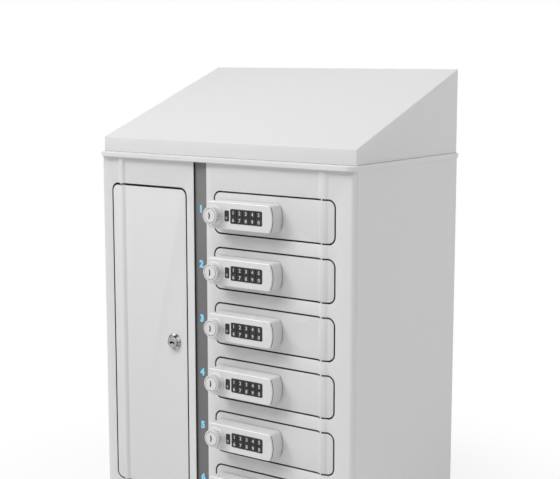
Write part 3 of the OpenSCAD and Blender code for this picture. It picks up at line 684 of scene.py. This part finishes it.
def formed_copy(context, node, rules, finish, shade_mask, shade="thin_coat"):
    """Copies a sheet part with its folds rounded. rules(edge's middle) gives each edge's radius.
    Where shade_mask(deepest corner, normal) is true, a face gets the finish that shade names, a dark
    grey that is painted shade."""
    bm = bmesh.new()
    bm.from_mesh(frame["nodes"][node].data)
    weight = bm.edges.layers.float.new("bevel_weight_edge")
    bmesh.ops.remove_doubles(bm, verts=bm.verts, dist=0.05 * MM)
    bmesh.ops.dissolve_limit(bm, angle_limit=math.radians(0.2), verts=bm.verts, edges=bm.edges)
    bm.normal_update()
    for face in bm.faces:
        face.smooth = is_curved(face)
    folds = [edge for edge in bm.edges if edge.is_convex and turn_across(edge) >= math.radians(35)]
    radii = {edge: rules((edge.verts[0].co + edge.verts[1].co) / 2) for edge in folds}
    widest = max(radii.values())
    for edge, radius in radii.items():
        edge[weight] = radius / widest
    soften_bead(bm)
    mesh = bpy.data.meshes.new(node + "_formed")
    bm.to_mesh(mesh)
    bm.free()
    mesh.materials.clear()
    mesh.materials.append(Finishes.get(context, finish))
    piece = bpy.data.objects.new(node + "_formed", mesh)
    context.scene.collection.objects.link(piece)
    bevel = piece.modifiers.new("folds", "BEVEL")
    bevel.limit_method = "WEIGHT"
    bevel.width = widest
    bevel.segments = 3
    bevel.use_clamp_overlap = False
    bevel.loop_slide = True
    shaped = evaluated_mesh(piece)
    shaped.set_sharp_from_angle(angle=SHARP)
    # second finish: dark grey painted shade on the faces that the mask picks
    shaped.materials.append(Finishes.get(context, shade))
    for face in shaped.polygons:
        deepest = max((shaped.vertices[v].co for v in face.vertices), key=lambda corner: corner.y)
        face.material_index = 1 if shade_mask(deepest, face.normal) else 0
    place_piece(node + "_formed", shaped, body_of(node), node=node, weighted=False)


# ---- places ----

CASE_DEPTH = 23 * MM
FACE_Y = -CASE_DEPTH
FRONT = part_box("lock_case_1")[0].y + CASE_DEPTH
KNOB_H = 11.5 * MM
KNOB_Y = FACE_Y - KNOB_H
SHEET = 1.2 * MM
ROD_LOW, ROD_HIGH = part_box("hinge_rods")
HINGES = (ROD_LOW.x + 3 * MM, ROD_HIGH.x - 3 * MM)
HINGE_Y = (ROD_LOW.y + ROD_HIGH.y) / 2
# how much of its height the bead over the right rods keeps once it is painted
BEAD_SHARE = 0.68
# half the bead's width, and how far its right foot is drawn out
BEAD_HALF = 9 * MM
BEAD_SPREAD = 3.2 * MM
DOORS_LOW, DOORS_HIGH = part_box("service_door")
STRIP_LOW, STRIP_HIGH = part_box("number_strip")
LOCK_BOXES = [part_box("service_lock_barrel")] + [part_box(f"lock_case_{n + 1}") for n in range(BAYS)]


def on_face(node):
    """Where the axis of a round node meets the doors' face."""
    low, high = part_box(node)
    return Vector(((low.x + high.x) / 2, FRONT, (low.z + high.z) / 2))


def lock_origin(bay):
    return on_face(f"knob_{bay}")


# ---- figures ----

def figure_mesh(text, height, thick):
    """Figures as a mesh that stands in X and Z, centred, with its back at y = 0."""
    curve = bpy.data.curves.new("figure", "FONT")
    curve.body = text
    curve.size = height * 1.4
    curve.resolution_u = 4
    curve.extrude = thick / 2
    holder = bpy.data.objects.new("figure", curve)
    bpy.context.scene.collection.objects.link(holder)
    mesh = evaluated_mesh(holder)
    bpy.data.curves.remove(curve)
    xs = [vert.co.x for vert in mesh.vertices]
    ys = [vert.co.y for vert in mesh.vertices]
    scale = height / (max(ys) - min(ys))
    cx, cy = (min(xs) + max(xs)) / 2, (min(ys) + max(ys)) / 2
    for vert in mesh.vertices:
        x, y, z = vert.co
        vert.co = ((x - cx) * scale, -z - thick / 2, (y - cy) * scale)
    return mesh


def add_figure(piece, text, at, height, thick, bold, prints=8):
    """Adds figures to a piece, in the finish that it is set to. Prints of the same figure, each
    set off by bold and a little in front of the last, thicken its strokes."""
    mesh = figure_mesh(text, height - 2 * bold, thick)
    layer = 0.16 * MM / prints
    for k in range(prints):
        aside, up = polar(bold, 2 * math.pi * k / prints)
        piece.add(mesh, Vector(at) + Vector((aside, -k * layer, up)))
    bpy.data.meshes.remove(mesh)


# ---- lock pieces ----

CASE_L = 102.6 * MM
CASE_H = 34.4 * MM
PLATE_T = 3 * MM
KNOB_INSET = 13.9 * MM
END_R = 38 * MM
CORNER_R = 4.5 * MM
SLOT_DEPTH = 4.6 * MM


def case_outline(inset=0.0):
    """Outline of the lock: square to the left, a shallow arc at the right end."""
    half, turn, reach = CASE_H / 2 - inset, CORNER_R - inset, END_R - inset
    corner, sweep = 7, 26
    left_x = turn + inset - KNOB_INSET
    end_x = CASE_L - KNOB_INSET - END_R
    swing = math.asin((half - turn) / (reach - turn))
    right_x = end_x + (reach - turn) * math.cos(swing)
    return (arc(left_x, half - turn, turn, 2 * QUARTER, QUARTER, corner)
            + arc(right_x, half - turn, turn, QUARTER, swing, corner)
            + arc(end_x, 0, reach, swing, -swing, sweep, 1)
            + arc(right_x, turn - half, turn, -swing, -QUARTER, corner, 1)
            + arc(left_x, turn - half, turn, -QUARTER, -2 * QUARTER, corner))


# windows of the keys and of the clear key, as x and z limits from the knob's axis
PAD = (24.1 * MM, 73.8 * MM, -9.3 * MM, 9.3 * MM)
CLEAR = (14.9 * MM, 22.1 * MM, -6.95 * MM, 6.95 * MM)
PLAY = 0.3 * MM
SPINDLE_HOLE_R = 5.05 * MM
NECK_R, NECK_END = 9 * MM, 14.2 * MM
NUT_H = 4 * MM
NUT_CORNER_R = 13.856 * MM
# where the cams of the keypad locks sit, and the square end and tapped hole that hold a cam
CAM_Y = 17 * MM
CAM_SEAT_R = 3.9 * MM
TAPPED_R, TAPPED_DEPTH = 2 * MM, 8 * MM


def build_case(context):
    """The lock's case, its face plate on a joint painted dark for its shade, and what passes through
    the door.
    """
    shell, joint, plated, rim = range(4)
    ease = context.scene.locker_locks.ease
    piece = Piece("lock_case")
    case_y = FACE_Y + PLATE_T
    reveal = 1.1 * MM
    lip, seam = 0.1 * MM, 0.05 * MM
    flange_y = -1 * MM
    spindle_hole = disc(SPINDLE_HOLE_R)
    # face plate with its windows and the hole that the knob covers
    windows = ((rounded_box(*PAD, 1.8 * MM), 0.35 * MM), (rounded_box(*CLEAR, 1.5 * MM), 0.3 * MM),
               (spindle_hole, 0.0))
    piece.plate(case_outline, FACE_Y, case_y - reveal, ease, windows)
    # painted highlight: the eased upper edge of the plate takes a near-white finish
    for made in piece.bm.faces:
        at = made.calc_center_median()
        if at.z > 15.9 * MM and FACE_Y + 0.02 * MM < at.y < FACE_Y + ease:
            made.material_index = rim
    # painted shade in the joint: dark grey, but not on its top side, which the light from above fills
    piece.finish = joint
    piece.loft(case_outline, [(reveal, case_y - reveal - lip), (reveal, case_y - seam),
                              (lip, case_y - seam), (lip, case_y + 0.3 * MM)])
    for made in piece.bm.faces:
        if made.material_index == joint and made.calc_center_median().z > 15 * MM:
            made.material_index = shell
    # painted shadow line at the door: a dark grey inset band
    piece.loft(case_outline, [(0, flange_y), (0.8 * MM, flange_y), (0.8 * MM, -0.1 * MM)])
    # housing, closed behind and open in front for the key mat
    piece.finish = shell
    front, back = piece.loft(case_outline, [
        (0.35 * MM, case_y), (lip, case_y + 0.12 * MM), (0, case_y + 0.4 * MM),
        (0, flange_y), (0.9 * MM, flange_y), (0.9 * MM, 0)])
    well = rounded_box(PAD[0] - 10 * MM, PAD[1] + 1.6 * MM, -11 * MM, 11 * MM, 1.5 * MM)
    well_front, well_back = piece.loft(well, [(0, case_y), (0, case_y + 2.3 * MM)])
    hole_front, hole_back = piece.loft(spindle_hole, [(0, case_y), (0, NECK_END)])
    piece.cap(front, well_front, hole_front)
    piece.cap(well_back)
    # threaded neck and nut behind the door
    piece.finish = plated
    neck, neck_end = piece.thread(NECK_R, 0.4 * MM, NECK_END, 0.8 * MM)
    piece.cap(neck_end, hole_back)
    nut_ys = SHEET, SHEET + NUT_H
    flats = [piece.circle(NUT_CORNER_R, y, 6) for y in nut_ys]
    bore = [piece.circle(NECK_R + 0.1 * MM, y) for y in nut_ys]
    piece.wall(*flats)
    piece.wall(*bore)
    for outer, inner in zip(flats, bore):
        piece.cap(outer, inner)
    # fixing screw at the far end of the case
    head_y = SHEET + 0.9 * MM
    piece.button([(1.6 * MM, -2 * MM), (1.6 * MM, SHEET), (3.4 * MM, SHEET), (3.4 * MM, head_y),
                  (2.9 * MM, head_y + 0.6 * MM), (1.8 * MM, head_y + 0.9 * MM)],
                 (PAD[1] + 4 * MM, 0), plated)
    piece.finish = shell
    piece.cap(back, neck)
    return piece.mesh(context, "lock_shell", "lock_joint", "zinc_plate", "lock_rim")


KEY_GAP = 0.7 * MM


def inside(window):
    """Limits of what fills a window, with play all round."""
    x0, x1, z0, z1 = window
    return x0 + PLAY, x1 - PLAY, z0 + PLAY, z1 - PLAY


def build_keypad(context):
    """Key mat: ten keys and a clear key with their printed figures, on one web."""
    locks = context.scene.locker_locks
    piece = Piece("keypad")
    x0, x1, z0, z1 = inside(PAD)
    wide, high = (x1 - x0 - 4 * KEY_GAP) / 5, (z1 - z0 - KEY_GAP) / 2
    top = FACE_Y - 0.4 * MM
    rim = FACE_Y + 1 * MM
    web = FACE_Y + PLATE_T + 0.1 * MM
    piece.plate(rounded_box(CLEAR[0] - 1 * MM, PAD[1] + 1.5 * MM, -10.8 * MM, 10.8 * MM, 1.5 * MM),
                web, web + 1.2 * MM)
    piece.plate(rounded_box(x0, x1, z0, z1, 1.5 * MM), rim, web + 0.1 * MM)
    for row in range(2):
        for column in range(5):
            kx, kz = x0 + column * (wide + KEY_GAP), z0 + row * (high + KEY_GAP)
            key = rounded_box(kx, kx + wide, kz, kz + high, 1.1 * MM)
            crowned_key(piece, key, top, rim + 0.05 * MM)
            text = str((column + 1 + 5 * (1 - row)) % 10)
            piece.finish = 1
            add_figure(piece, text, (kx + wide / 2, top + 0.03 * MM, kz + high / 2),
                       locks.figure_height, 0.08 * MM, 0.06 * MM)
            piece.finish = 0
    crowned_key(piece, rounded_box(*inside(CLEAR), 1.3 * MM), top, web + 0.1 * MM)
    piece.finish = 1
    add_figure(piece, "C", ((CLEAR[0] + CLEAR[1]) / 2, top + 0.03 * MM, CLEAR[2] + 4.4 * MM),
               2.9 * MM, 0.08 * MM, 0.1 * MM)
    return piece.mesh(context, "key_rubber", "key_print")


def crowned_key(piece, outline, top, bottom):
    """A key with a rounded edge and a slightly crowned face."""
    crown = [(inset, top + 0.03 * MM + depth) for inset, depth in eased_edge(0.5 * MM)]
    front, back = piece.loft(outline, [(0.9 * MM, top), *crown, (0, bottom)])
    piece.cap(front)
    piece.cap(back)


def build_knob(context):
    """Knob with a flared foot, a fluted grip and a rounded rim, and the lock's spindle."""
    flutes = context.scene.locker_locks.flutes
    piece = Piece("knob")
    foot_y = FACE_Y - 0.3 * MM
    grip_y = foot_y - 3 * MM
    grip, collar, pocket_r = 11.5 * MM, 12.8 * MM, 9.45 * MM
    pocket_y = KNOB_Y + 2.5 * MM
    first, last = piece.fluted([
        (pocket_r, KNOB_Y + 0.15 * MM, 0), (pocket_r + 0.15 * MM, KNOB_Y, 0),
        (grip - 0.95 * MM, KNOB_Y, 0), (grip - 0.55 * MM, KNOB_Y + 0.12 * MM, 0.35),
        (grip - 0.25 * MM, KNOB_Y + 0.35 * MM, 0.7), (grip - 0.07 * MM, KNOB_Y + 0.65 * MM, 0.95),
        (grip, KNOB_Y + 1.0 * MM, 1), (grip, grip_y - 1.0 * MM, 1), (grip, grip_y - 0.45 * MM, 0.8),
        (grip + 0.02 * MM, grip_y, 0.35), (grip + 0.25 * MM, grip_y + 0.7 * MM, 0),
        (grip + 0.75 * MM, grip_y + 1.4 * MM, 0), (collar - 0.12 * MM, foot_y - 1.1 * MM, 0),
        (collar, foot_y - 0.8 * MM, 0), (collar, foot_y, 0)], flutes, 0.8 * MM, 0.8)
    # painted shade: the pocket round the core and the bore for its stem are dark grey
    piece.finish = 1
    pocket = piece.circle(pocket_r, pocket_y, len(first))
    piece.wall(first, pocket)
    piece.step(pocket, disc(3.55 * MM, SMALL)(), KNOB_Y + 7.8 * MM)
    seat_y = CAM_Y + 2.4 * MM
    spindle = [piece.circle(radius, y, SMALL) for radius, y in
               ((5 * MM, foot_y), (5 * MM, CAM_Y), (CAM_SEAT_R, CAM_Y), (CAM_SEAT_R, seat_y))]
    piece.cap(last, spindle[0])
    piece.wall(*spindle)
    piece.step(spindle[-1], disc(TAPPED_R, SMALL)(), CAM_Y - TAPPED_DEPTH)
    return piece.mesh(context, "lock_shell", "lock_joint")


def slot_points(tall, width, bend):
    """Key slot: two short cuts that meet at an angle, as one outline in X and Z."""
    half, turn = width / 2, math.radians(bend)
    across = Vector((math.cos(turn), math.sin(turn))) * half
    along = Vector((-math.sin(turn), math.cos(turn))) * tall / 2
    right, left = along + across, along - across
    knee = half / math.cos(turn)
    return [(knee, 0.0), tuple(right), tuple(left),
            (-knee, 0.0), (left.x, -left.y), (right.x, -right.y)]


def build_core(context):
    """Core for the master key: a disc with a key slot in a shallow groove, and its stem."""
    piece = Piece("key_core")
    top, back, stem_y = KNOB_Y - 0.3 * MM, KNOB_Y + 2.4 * MM, KNOB_Y + 7.5 * MM
    sunk_y = top + 0.18 * MM
    front, rear = piece.loft(disc(8.9 * MM), eased_from(top, 0.45 * MM) + [(0, back)])
    piece.step(rear, disc(3.5 * MM, SMALL)(), stem_y)
    rim, sunk = piece.circle(7.4 * MM, top), piece.circle(7 * MM, sunk_y)
    piece.cap(front, rim)
    piece.wall(rim, sunk)
    # the key slot is near black: painted shade
    piece.step(sunk, slot_points(8 * MM, 1.8 * MM, 14), top + SLOT_DEPTH, 1)
    return piece.mesh(context, "lock_shell", "keyway")


SERVICE_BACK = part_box("service_lock_barrel")[1].y - FRONT
PLUG_R = 6.4 * MM
# radius, height over the door's face, and share of the ribs' depth, in millimetres
SERVICE_NECK = (
    (7.9, -5.6, 0), (8, -5.2, 0), (8.1, -4.9, 0.6), (8.5, -3.8, 1), (9, -2.7, 1), (9.4, -2.1, 0.7),
    (9.8, -1.7, 0.3), (10.3, -1.4, 0), (10.8, -1.15, 0), (11, -0.8, 0), (11, 0, 0))


def build_service_barrel(context):
    """Barrel of the service lock: a rim, a ribbed neck that widens to the door, and a thread."""
    piece = Piece("service_barrel")
    face = -6 * MM
    first, last = piece.fluted([(radius * MM, y * MM, share) for radius, y, share in SERVICE_NECK],
                               16, 0.5 * MM, 0.7)
    segments = len(first)
    piece.finish = 1
    rim = [piece.circle(radius, y, segments) for radius, y in
           ((7.5 * MM, face), (PLUG_R + 0.35 * MM, face), (PLUG_R + 0.15 * MM, face + 0.2 * MM))]
    piece.wall(first, *rim)
    piece.finish = 2
    bore = piece.circle(PLUG_R + 0.05 * MM, SERVICE_BACK, segments)
    piece.wall(rim[-1], bore)
    neck, neck_end = piece.thread(8.6 * MM, 0.45 * MM, SERVICE_BACK, 1.2 * MM)
    piece.cap(last, neck)
    piece.cap(neck_end, bore)
    return piece.mesh(context, "turned_chrome", "lock_chrome", "zinc_plate")


def build_service_plug(context):
    """Plug with a bent key slot, a small white dome below it that is a painted highlight, and the
    seat for the cam.
    """
    piece = Piece("service_plug")
    top = -5.75 * MM
    cam_y = SERVICE_BACK + 1 * MM
    end_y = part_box("service_lock_plug")[1].y - FRONT
    front, side = piece.loft(disc(PLUG_R), eased_from(top, 0.3 * MM) + [(0, cam_y)])
    seat = [piece.circle(CAM_SEAT_R, y, SMALL) for y in (cam_y, end_y)]
    piece.cap(side, seat[0])
    piece.wall(*seat)
    piece.step(seat[1], disc(TAPPED_R, SMALL)(), cam_y - TAPPED_DEPTH)
    slot = [(-z, x) for x, z in slot_points(8.4 * MM, 2.8 * MM, 15)]
    # the key slot is near black: painted shade
    piece.step(front, slot, top + SLOT_DEPTH, 1)
    # painted highlight: a small white dome below the slot stands for the glint there
    ward = [(1.0 * MM, top + 0.3 * MM), (1.0 * MM, top), (0.8 * MM, top - 0.12 * MM),
            (0.4 * MM, top - 0.2 * MM)]
    piece.button(ward, (0.6 * MM, -2.2 * MM), 2)
    return piece.mesh(context, "lock_chrome", "keyway", "key_print")


# ---- operators ----

def front_folds(fold, raw):
    """Radii of a front part's edges: folds on its face and raw sheet edges behind, but none at the
    rods or behind the locks."""
    def radius(at):
        if any(low.x < at.x < high.x and low.z < at.z < high.z for low, high in LOCK_BOXES):
            return 0
        from_rod = min(math.hypot(at.x - x, at.y - HINGE_Y) for x in HINGES)
        if at.y < FRONT + 0.02 * MM:
            return 0 if from_rod < 4 * MM else fold
        return raw if at.y > FRONT + 4 * MM and from_rod > 7 * MM else 0
    return radius


def in_gap(at, normal):
    """True on the returns beside the door gaps and beside the number strip, which take painted shade.
    """
    depth = at.y - FRONT
    if abs(at.x - STRIP_LOW.x) < 1 * MM and depth < 6 * MM and normal.x > 0.7:
        return True
    among_doors = abs(at.x) < 190 * MM and DOORS_LOW.z - 4 * MM < at.z < DOORS_HIGH.z + 4 * MM
    return among_doors and 2 * MM < depth < 13 * MM and abs(normal.y) < 0.3


class LOCKER_OT_panels(bpy.types.Operator):
    """Round the folds of the front frame and the sloped top, and coat them"""
    bl_idname = "locker.panels"
    bl_label = "Cabinet panels"

    def execute(self, context):
        folds = front_folds(context.scene.locker_paint.fold, 0.25 * MM)
        low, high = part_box("front_frame")

        def frame_folds(at):
            return folds(at) if low.z + 2 * MM < at.z < high.z - 2 * MM else 0

        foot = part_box("sloped_top")[0].z + 1 * MM

        def hood_folds(at):
            outer = abs(at.x) > 200 * MM or at.y < FRONT + 6 * MM or at.z > 600 * MM
            return (0.35 if at.z < foot else 0.6) * MM if outer else 0

        # painted shade: a dark band on the hood's foot, in the crease where it meets the cornice
        def hood_joint(at, normal):
            return normal.z < -0.2 and at.z < foot

        formed_copy(context, "front_frame", frame_folds, "cabinet_coat", in_gap)
        formed_copy(context, "sloped_top", hood_folds, "cabinet_coat", hood_joint)
        return {"FINISHED"}


class LOCKER_OT_doors(bpy.types.Operator):
    """Round the folds of the doors and coat them"""
    bl_idname = "locker.doors"
    bl_label = "Doors"

    def execute(self, context):
        folds = front_folds(context.scene.locker_paint.fold, 0.2 * MM)
        # the service door's gap returns take a near-black painted shade
        formed_copy(context, "service_door", folds, "cabinet_coat", in_gap,
                    "bare_edge")
        for bay in range(1, BAYS + 1):
            formed_copy(context, f"door_{bay}", folds, "door_coat", in_gap)
        return {"FINISHED"}


class LOCKER_OT_numbers(bpy.types.Operator):
    """Print the compartment numbers on their strip"""
    bl_idname = "locker.numbers"
    bl_label = "Number strip"

    def execute(self, context):
        sizes = context.scene.locker_numbers
        x = (STRIP_LOW.x + STRIP_HIGH.x) / 2 - 0.9 * MM
        for bay in range(1, BAYS + 1):
            piece = Piece(f"number_{bay}")
            add_figure(piece, str(bay), (0, 0.02 * MM, 0), sizes.height, 0.12 * MM,
                       sizes.boldness, prints=24)
            at = (x, STRIP_LOW.y, lock_origin(bay).z + sizes.rise)
            place_piece(f"number_{bay}", piece.mesh(context, "number_ink"), body_of("number_strip"),
                        at)
        return {"FINISHED"}


class LOCKER_OT_keypad_locks(bpy.types.Operator):
    """Build the keypad locks: cases, key mats, knobs and key cores"""
    bl_idname = "locker.keypad_locks"
    bl_label = "Keypad locks"

    def execute(self, context):
        pieces = (("lock_case", build_case(context), "lock_white"),
                  ("keypad", build_keypad(context), "key_black"),
                  ("knob", build_knob(context), "lock_white"),
                  ("key_core", build_core(context), "lock_white"))
        for bay in range(1, BAYS + 1):
            for name, mesh, slot in pieces:
                place_detailed(f"{name}_{bay}", mesh, lock_origin(bay))
        return {"FINISHED"}


class LOCKER_OT_service_lock(bpy.types.Operator):
    """Build the barrel and plug of the service door's lock"""
    bl_idname = "locker.service_lock"
    bl_label = "Service lock"

    def execute(self, context):
        at = on_face("service_lock_plug")
        place_detailed("service_lock_barrel", build_service_barrel(context), at)
        place_detailed("service_lock_plug", build_service_plug(context), at)
        return {"FINISHED"}


class LOCKER_OT_plain_parts(bpy.types.Operator):
    """Finish the parts that keep their plain shape"""
    bl_idname = "locker.plain_parts"
    bl_label = "Plain parts"

    def execute(self, context):
        for finish, nodes in PLAIN_PARTS.items():
            for node in nodes:
                coat_node(context, node, finish)
        return {"FINISHED"}


def area_light(name, at, target, size, watts):
    """A square soft light that points at a target."""
    data = bpy.data.lights.new(name, "AREA")
    data.shape = "SQUARE"
    data.size = size
    data.energy = watts
    lamp = bpy.data.objects.new(name, data)
    lamp.location = at
    lamp.rotation_euler = (Vector(target) - Vector(at)).to_track_quat("-Z", "Y").to_euler()
    bpy.context.scene.collection.objects.link(lamp)


class LOCKER_OT_studio(bpy.types.Operator):
    """Set up the camera, floor, soft lights and pale surroundings"""
    bl_idname = "locker.studio"
    bl_label = "Studio"

    def execute(self, context):
        scene = context.scene
        studio = scene.locker_studio
        scene.view_settings.view_transform = "Standard"
        lens = bpy.data.cameras.new("studio_camera")
        lens.lens = 80.56
        lens.sensor_width = 36
        lens.clip_end = 50
        camera = bpy.data.objects.new("studio_camera", lens)
        camera.location = (0.99623, -1.37869, 0.63265)
        azimuth, elevation = 35.743, 8.3926
        camera.rotation_euler = (math.radians(90 - elevation), 0, math.radians(azimuth))
        scene.collection.objects.link(camera)
        scene.camera = camera
        self.floor(context, studio)
        self.sky(scene, studio)
        area_light("key_light", (-2.2, -3.05, 3.45), (0, 0, 0.3), 2.0, studio.key_power)
        area_light("top_light", (0.2, -1.4, 2.8), (0, 0, 0.4), 1.8, studio.top_power)
        area_light("fill_light", (2.2, 0.7, 1.2), (0.2, 0, 0.3), 1.4, studio.fill_power)
        area_light("back_light", (-1.0, 2.7, 0.6), (0, 0, 0.3), 1.2, studio.back_power)
        return {"FINISHED"}

    def floor(self, context, studio):
        """A pale floor that keeps the locker's shadow and turns to plain white around it."""
        finish = Finish("studio_floor")
        lit = finish.node("ShaderNodeBsdfDiffuse", {}, {"Color": tuple(studio.floor)})
        glow = finish.node("ShaderNodeEmission", {}, {"Color": grey(255), "Strength": 1.0})
        away = finish.node("ShaderNodeVectorMath", {"operation": "LENGTH"}, {0: finish.place()},
                           out="Value")
        far = finish.fade(away, 0.25, 0.6, 0.85, 1.0)
        shader = finish.node("ShaderNodeMixShader", {}, {0: far * finish.shown(), 1: lit, 2: glow})
        finish.output(shader)
        mesh = bpy.data.meshes.new("studio_floor")
        reach = 8.0
        corners = [(-reach, -reach, 0), (reach, -reach, 0), (reach, reach, 0), (-reach, reach, 0)]
        mesh.from_pydata(corners, [], [(0, 1, 2, 3)])
        mesh.materials.append(finish.material)
        floor = bpy.data.objects.new("studio_floor", mesh)
        floor.location.z = CAD_BOX[0][2] - 0.2 * MM
        context.scene.collection.objects.link(floor)

    def sky(self, scene, studio):
        """Soft light from all round, which looks plain white itself."""
        world = Finish("studio_sky", "worlds")
        plain = world.node("ShaderNodeBackground", {}, {"Color": grey(255), "Strength": studio.sky})
        white = world.node("ShaderNodeBackground", {}, {"Color": grey(255), "Strength": 1.0})
        shader = world.node("ShaderNodeMixShader", {}, {0: world.shown(), 1: plain, 2: white})
        world.output(shader, "ShaderNodeOutputWorld")
        scene.world = world.material


STEPS = (LOCKER_OT_studio, LOCKER_OT_panels, LOCKER_OT_doors, LOCKER_OT_numbers,
         LOCKER_OT_keypad_locks, LOCKER_OT_service_lock, LOCKER_OT_plain_parts)
GROUPS = {"locker_paint": LockerPaint, "locker_locks": LockerLocks,
          "locker_numbers": LockerNumbers, "locker_studio": LockerStudio}


class LOCKER_PT_sidebar(bpy.types.Panel):
    """Sizes, colours and building steps of the phone locker"""
    bl_idname = "LOCKER_PT_sidebar"
    bl_label = "Phone locker"
    bl_space_type = "VIEW_3D"
    bl_region_type = "UI"
    bl_category = "Locker"

    def draw(self, context):
        layout = self.layout
        for attribute, group in GROUPS.items():
            box = layout.box()
            box.label(text=group.bl_rna.name)
            for name in group.__annotations__:
                box.prop(getattr(context.scene, attribute), name)
        for step in STEPS:
            layout.operator(step.bl_idname)


CLASSES = (*GROUPS.values(), *STEPS, LOCKER_PT_sidebar)


def register():
    for cls in CLASSES:
        bpy.utils.register_class(cls)
    for attribute, group in GROUPS.items():
        setattr(bpy.types.Scene, attribute, bpy.props.PointerProperty(type=group))


def unregister():
    for attribute in GROUPS:
        delattr(bpy.types.Scene, attribute)
    for cls in reversed(CLASSES):
        bpy.utils.unregister_class(cls)


def main():
    register()
    for step in STEPS:
        prefix, name = step.bl_idname.split(".")
        getattr(getattr(bpy.ops, prefix), name)()


if __name__ == "__main__":
    main()
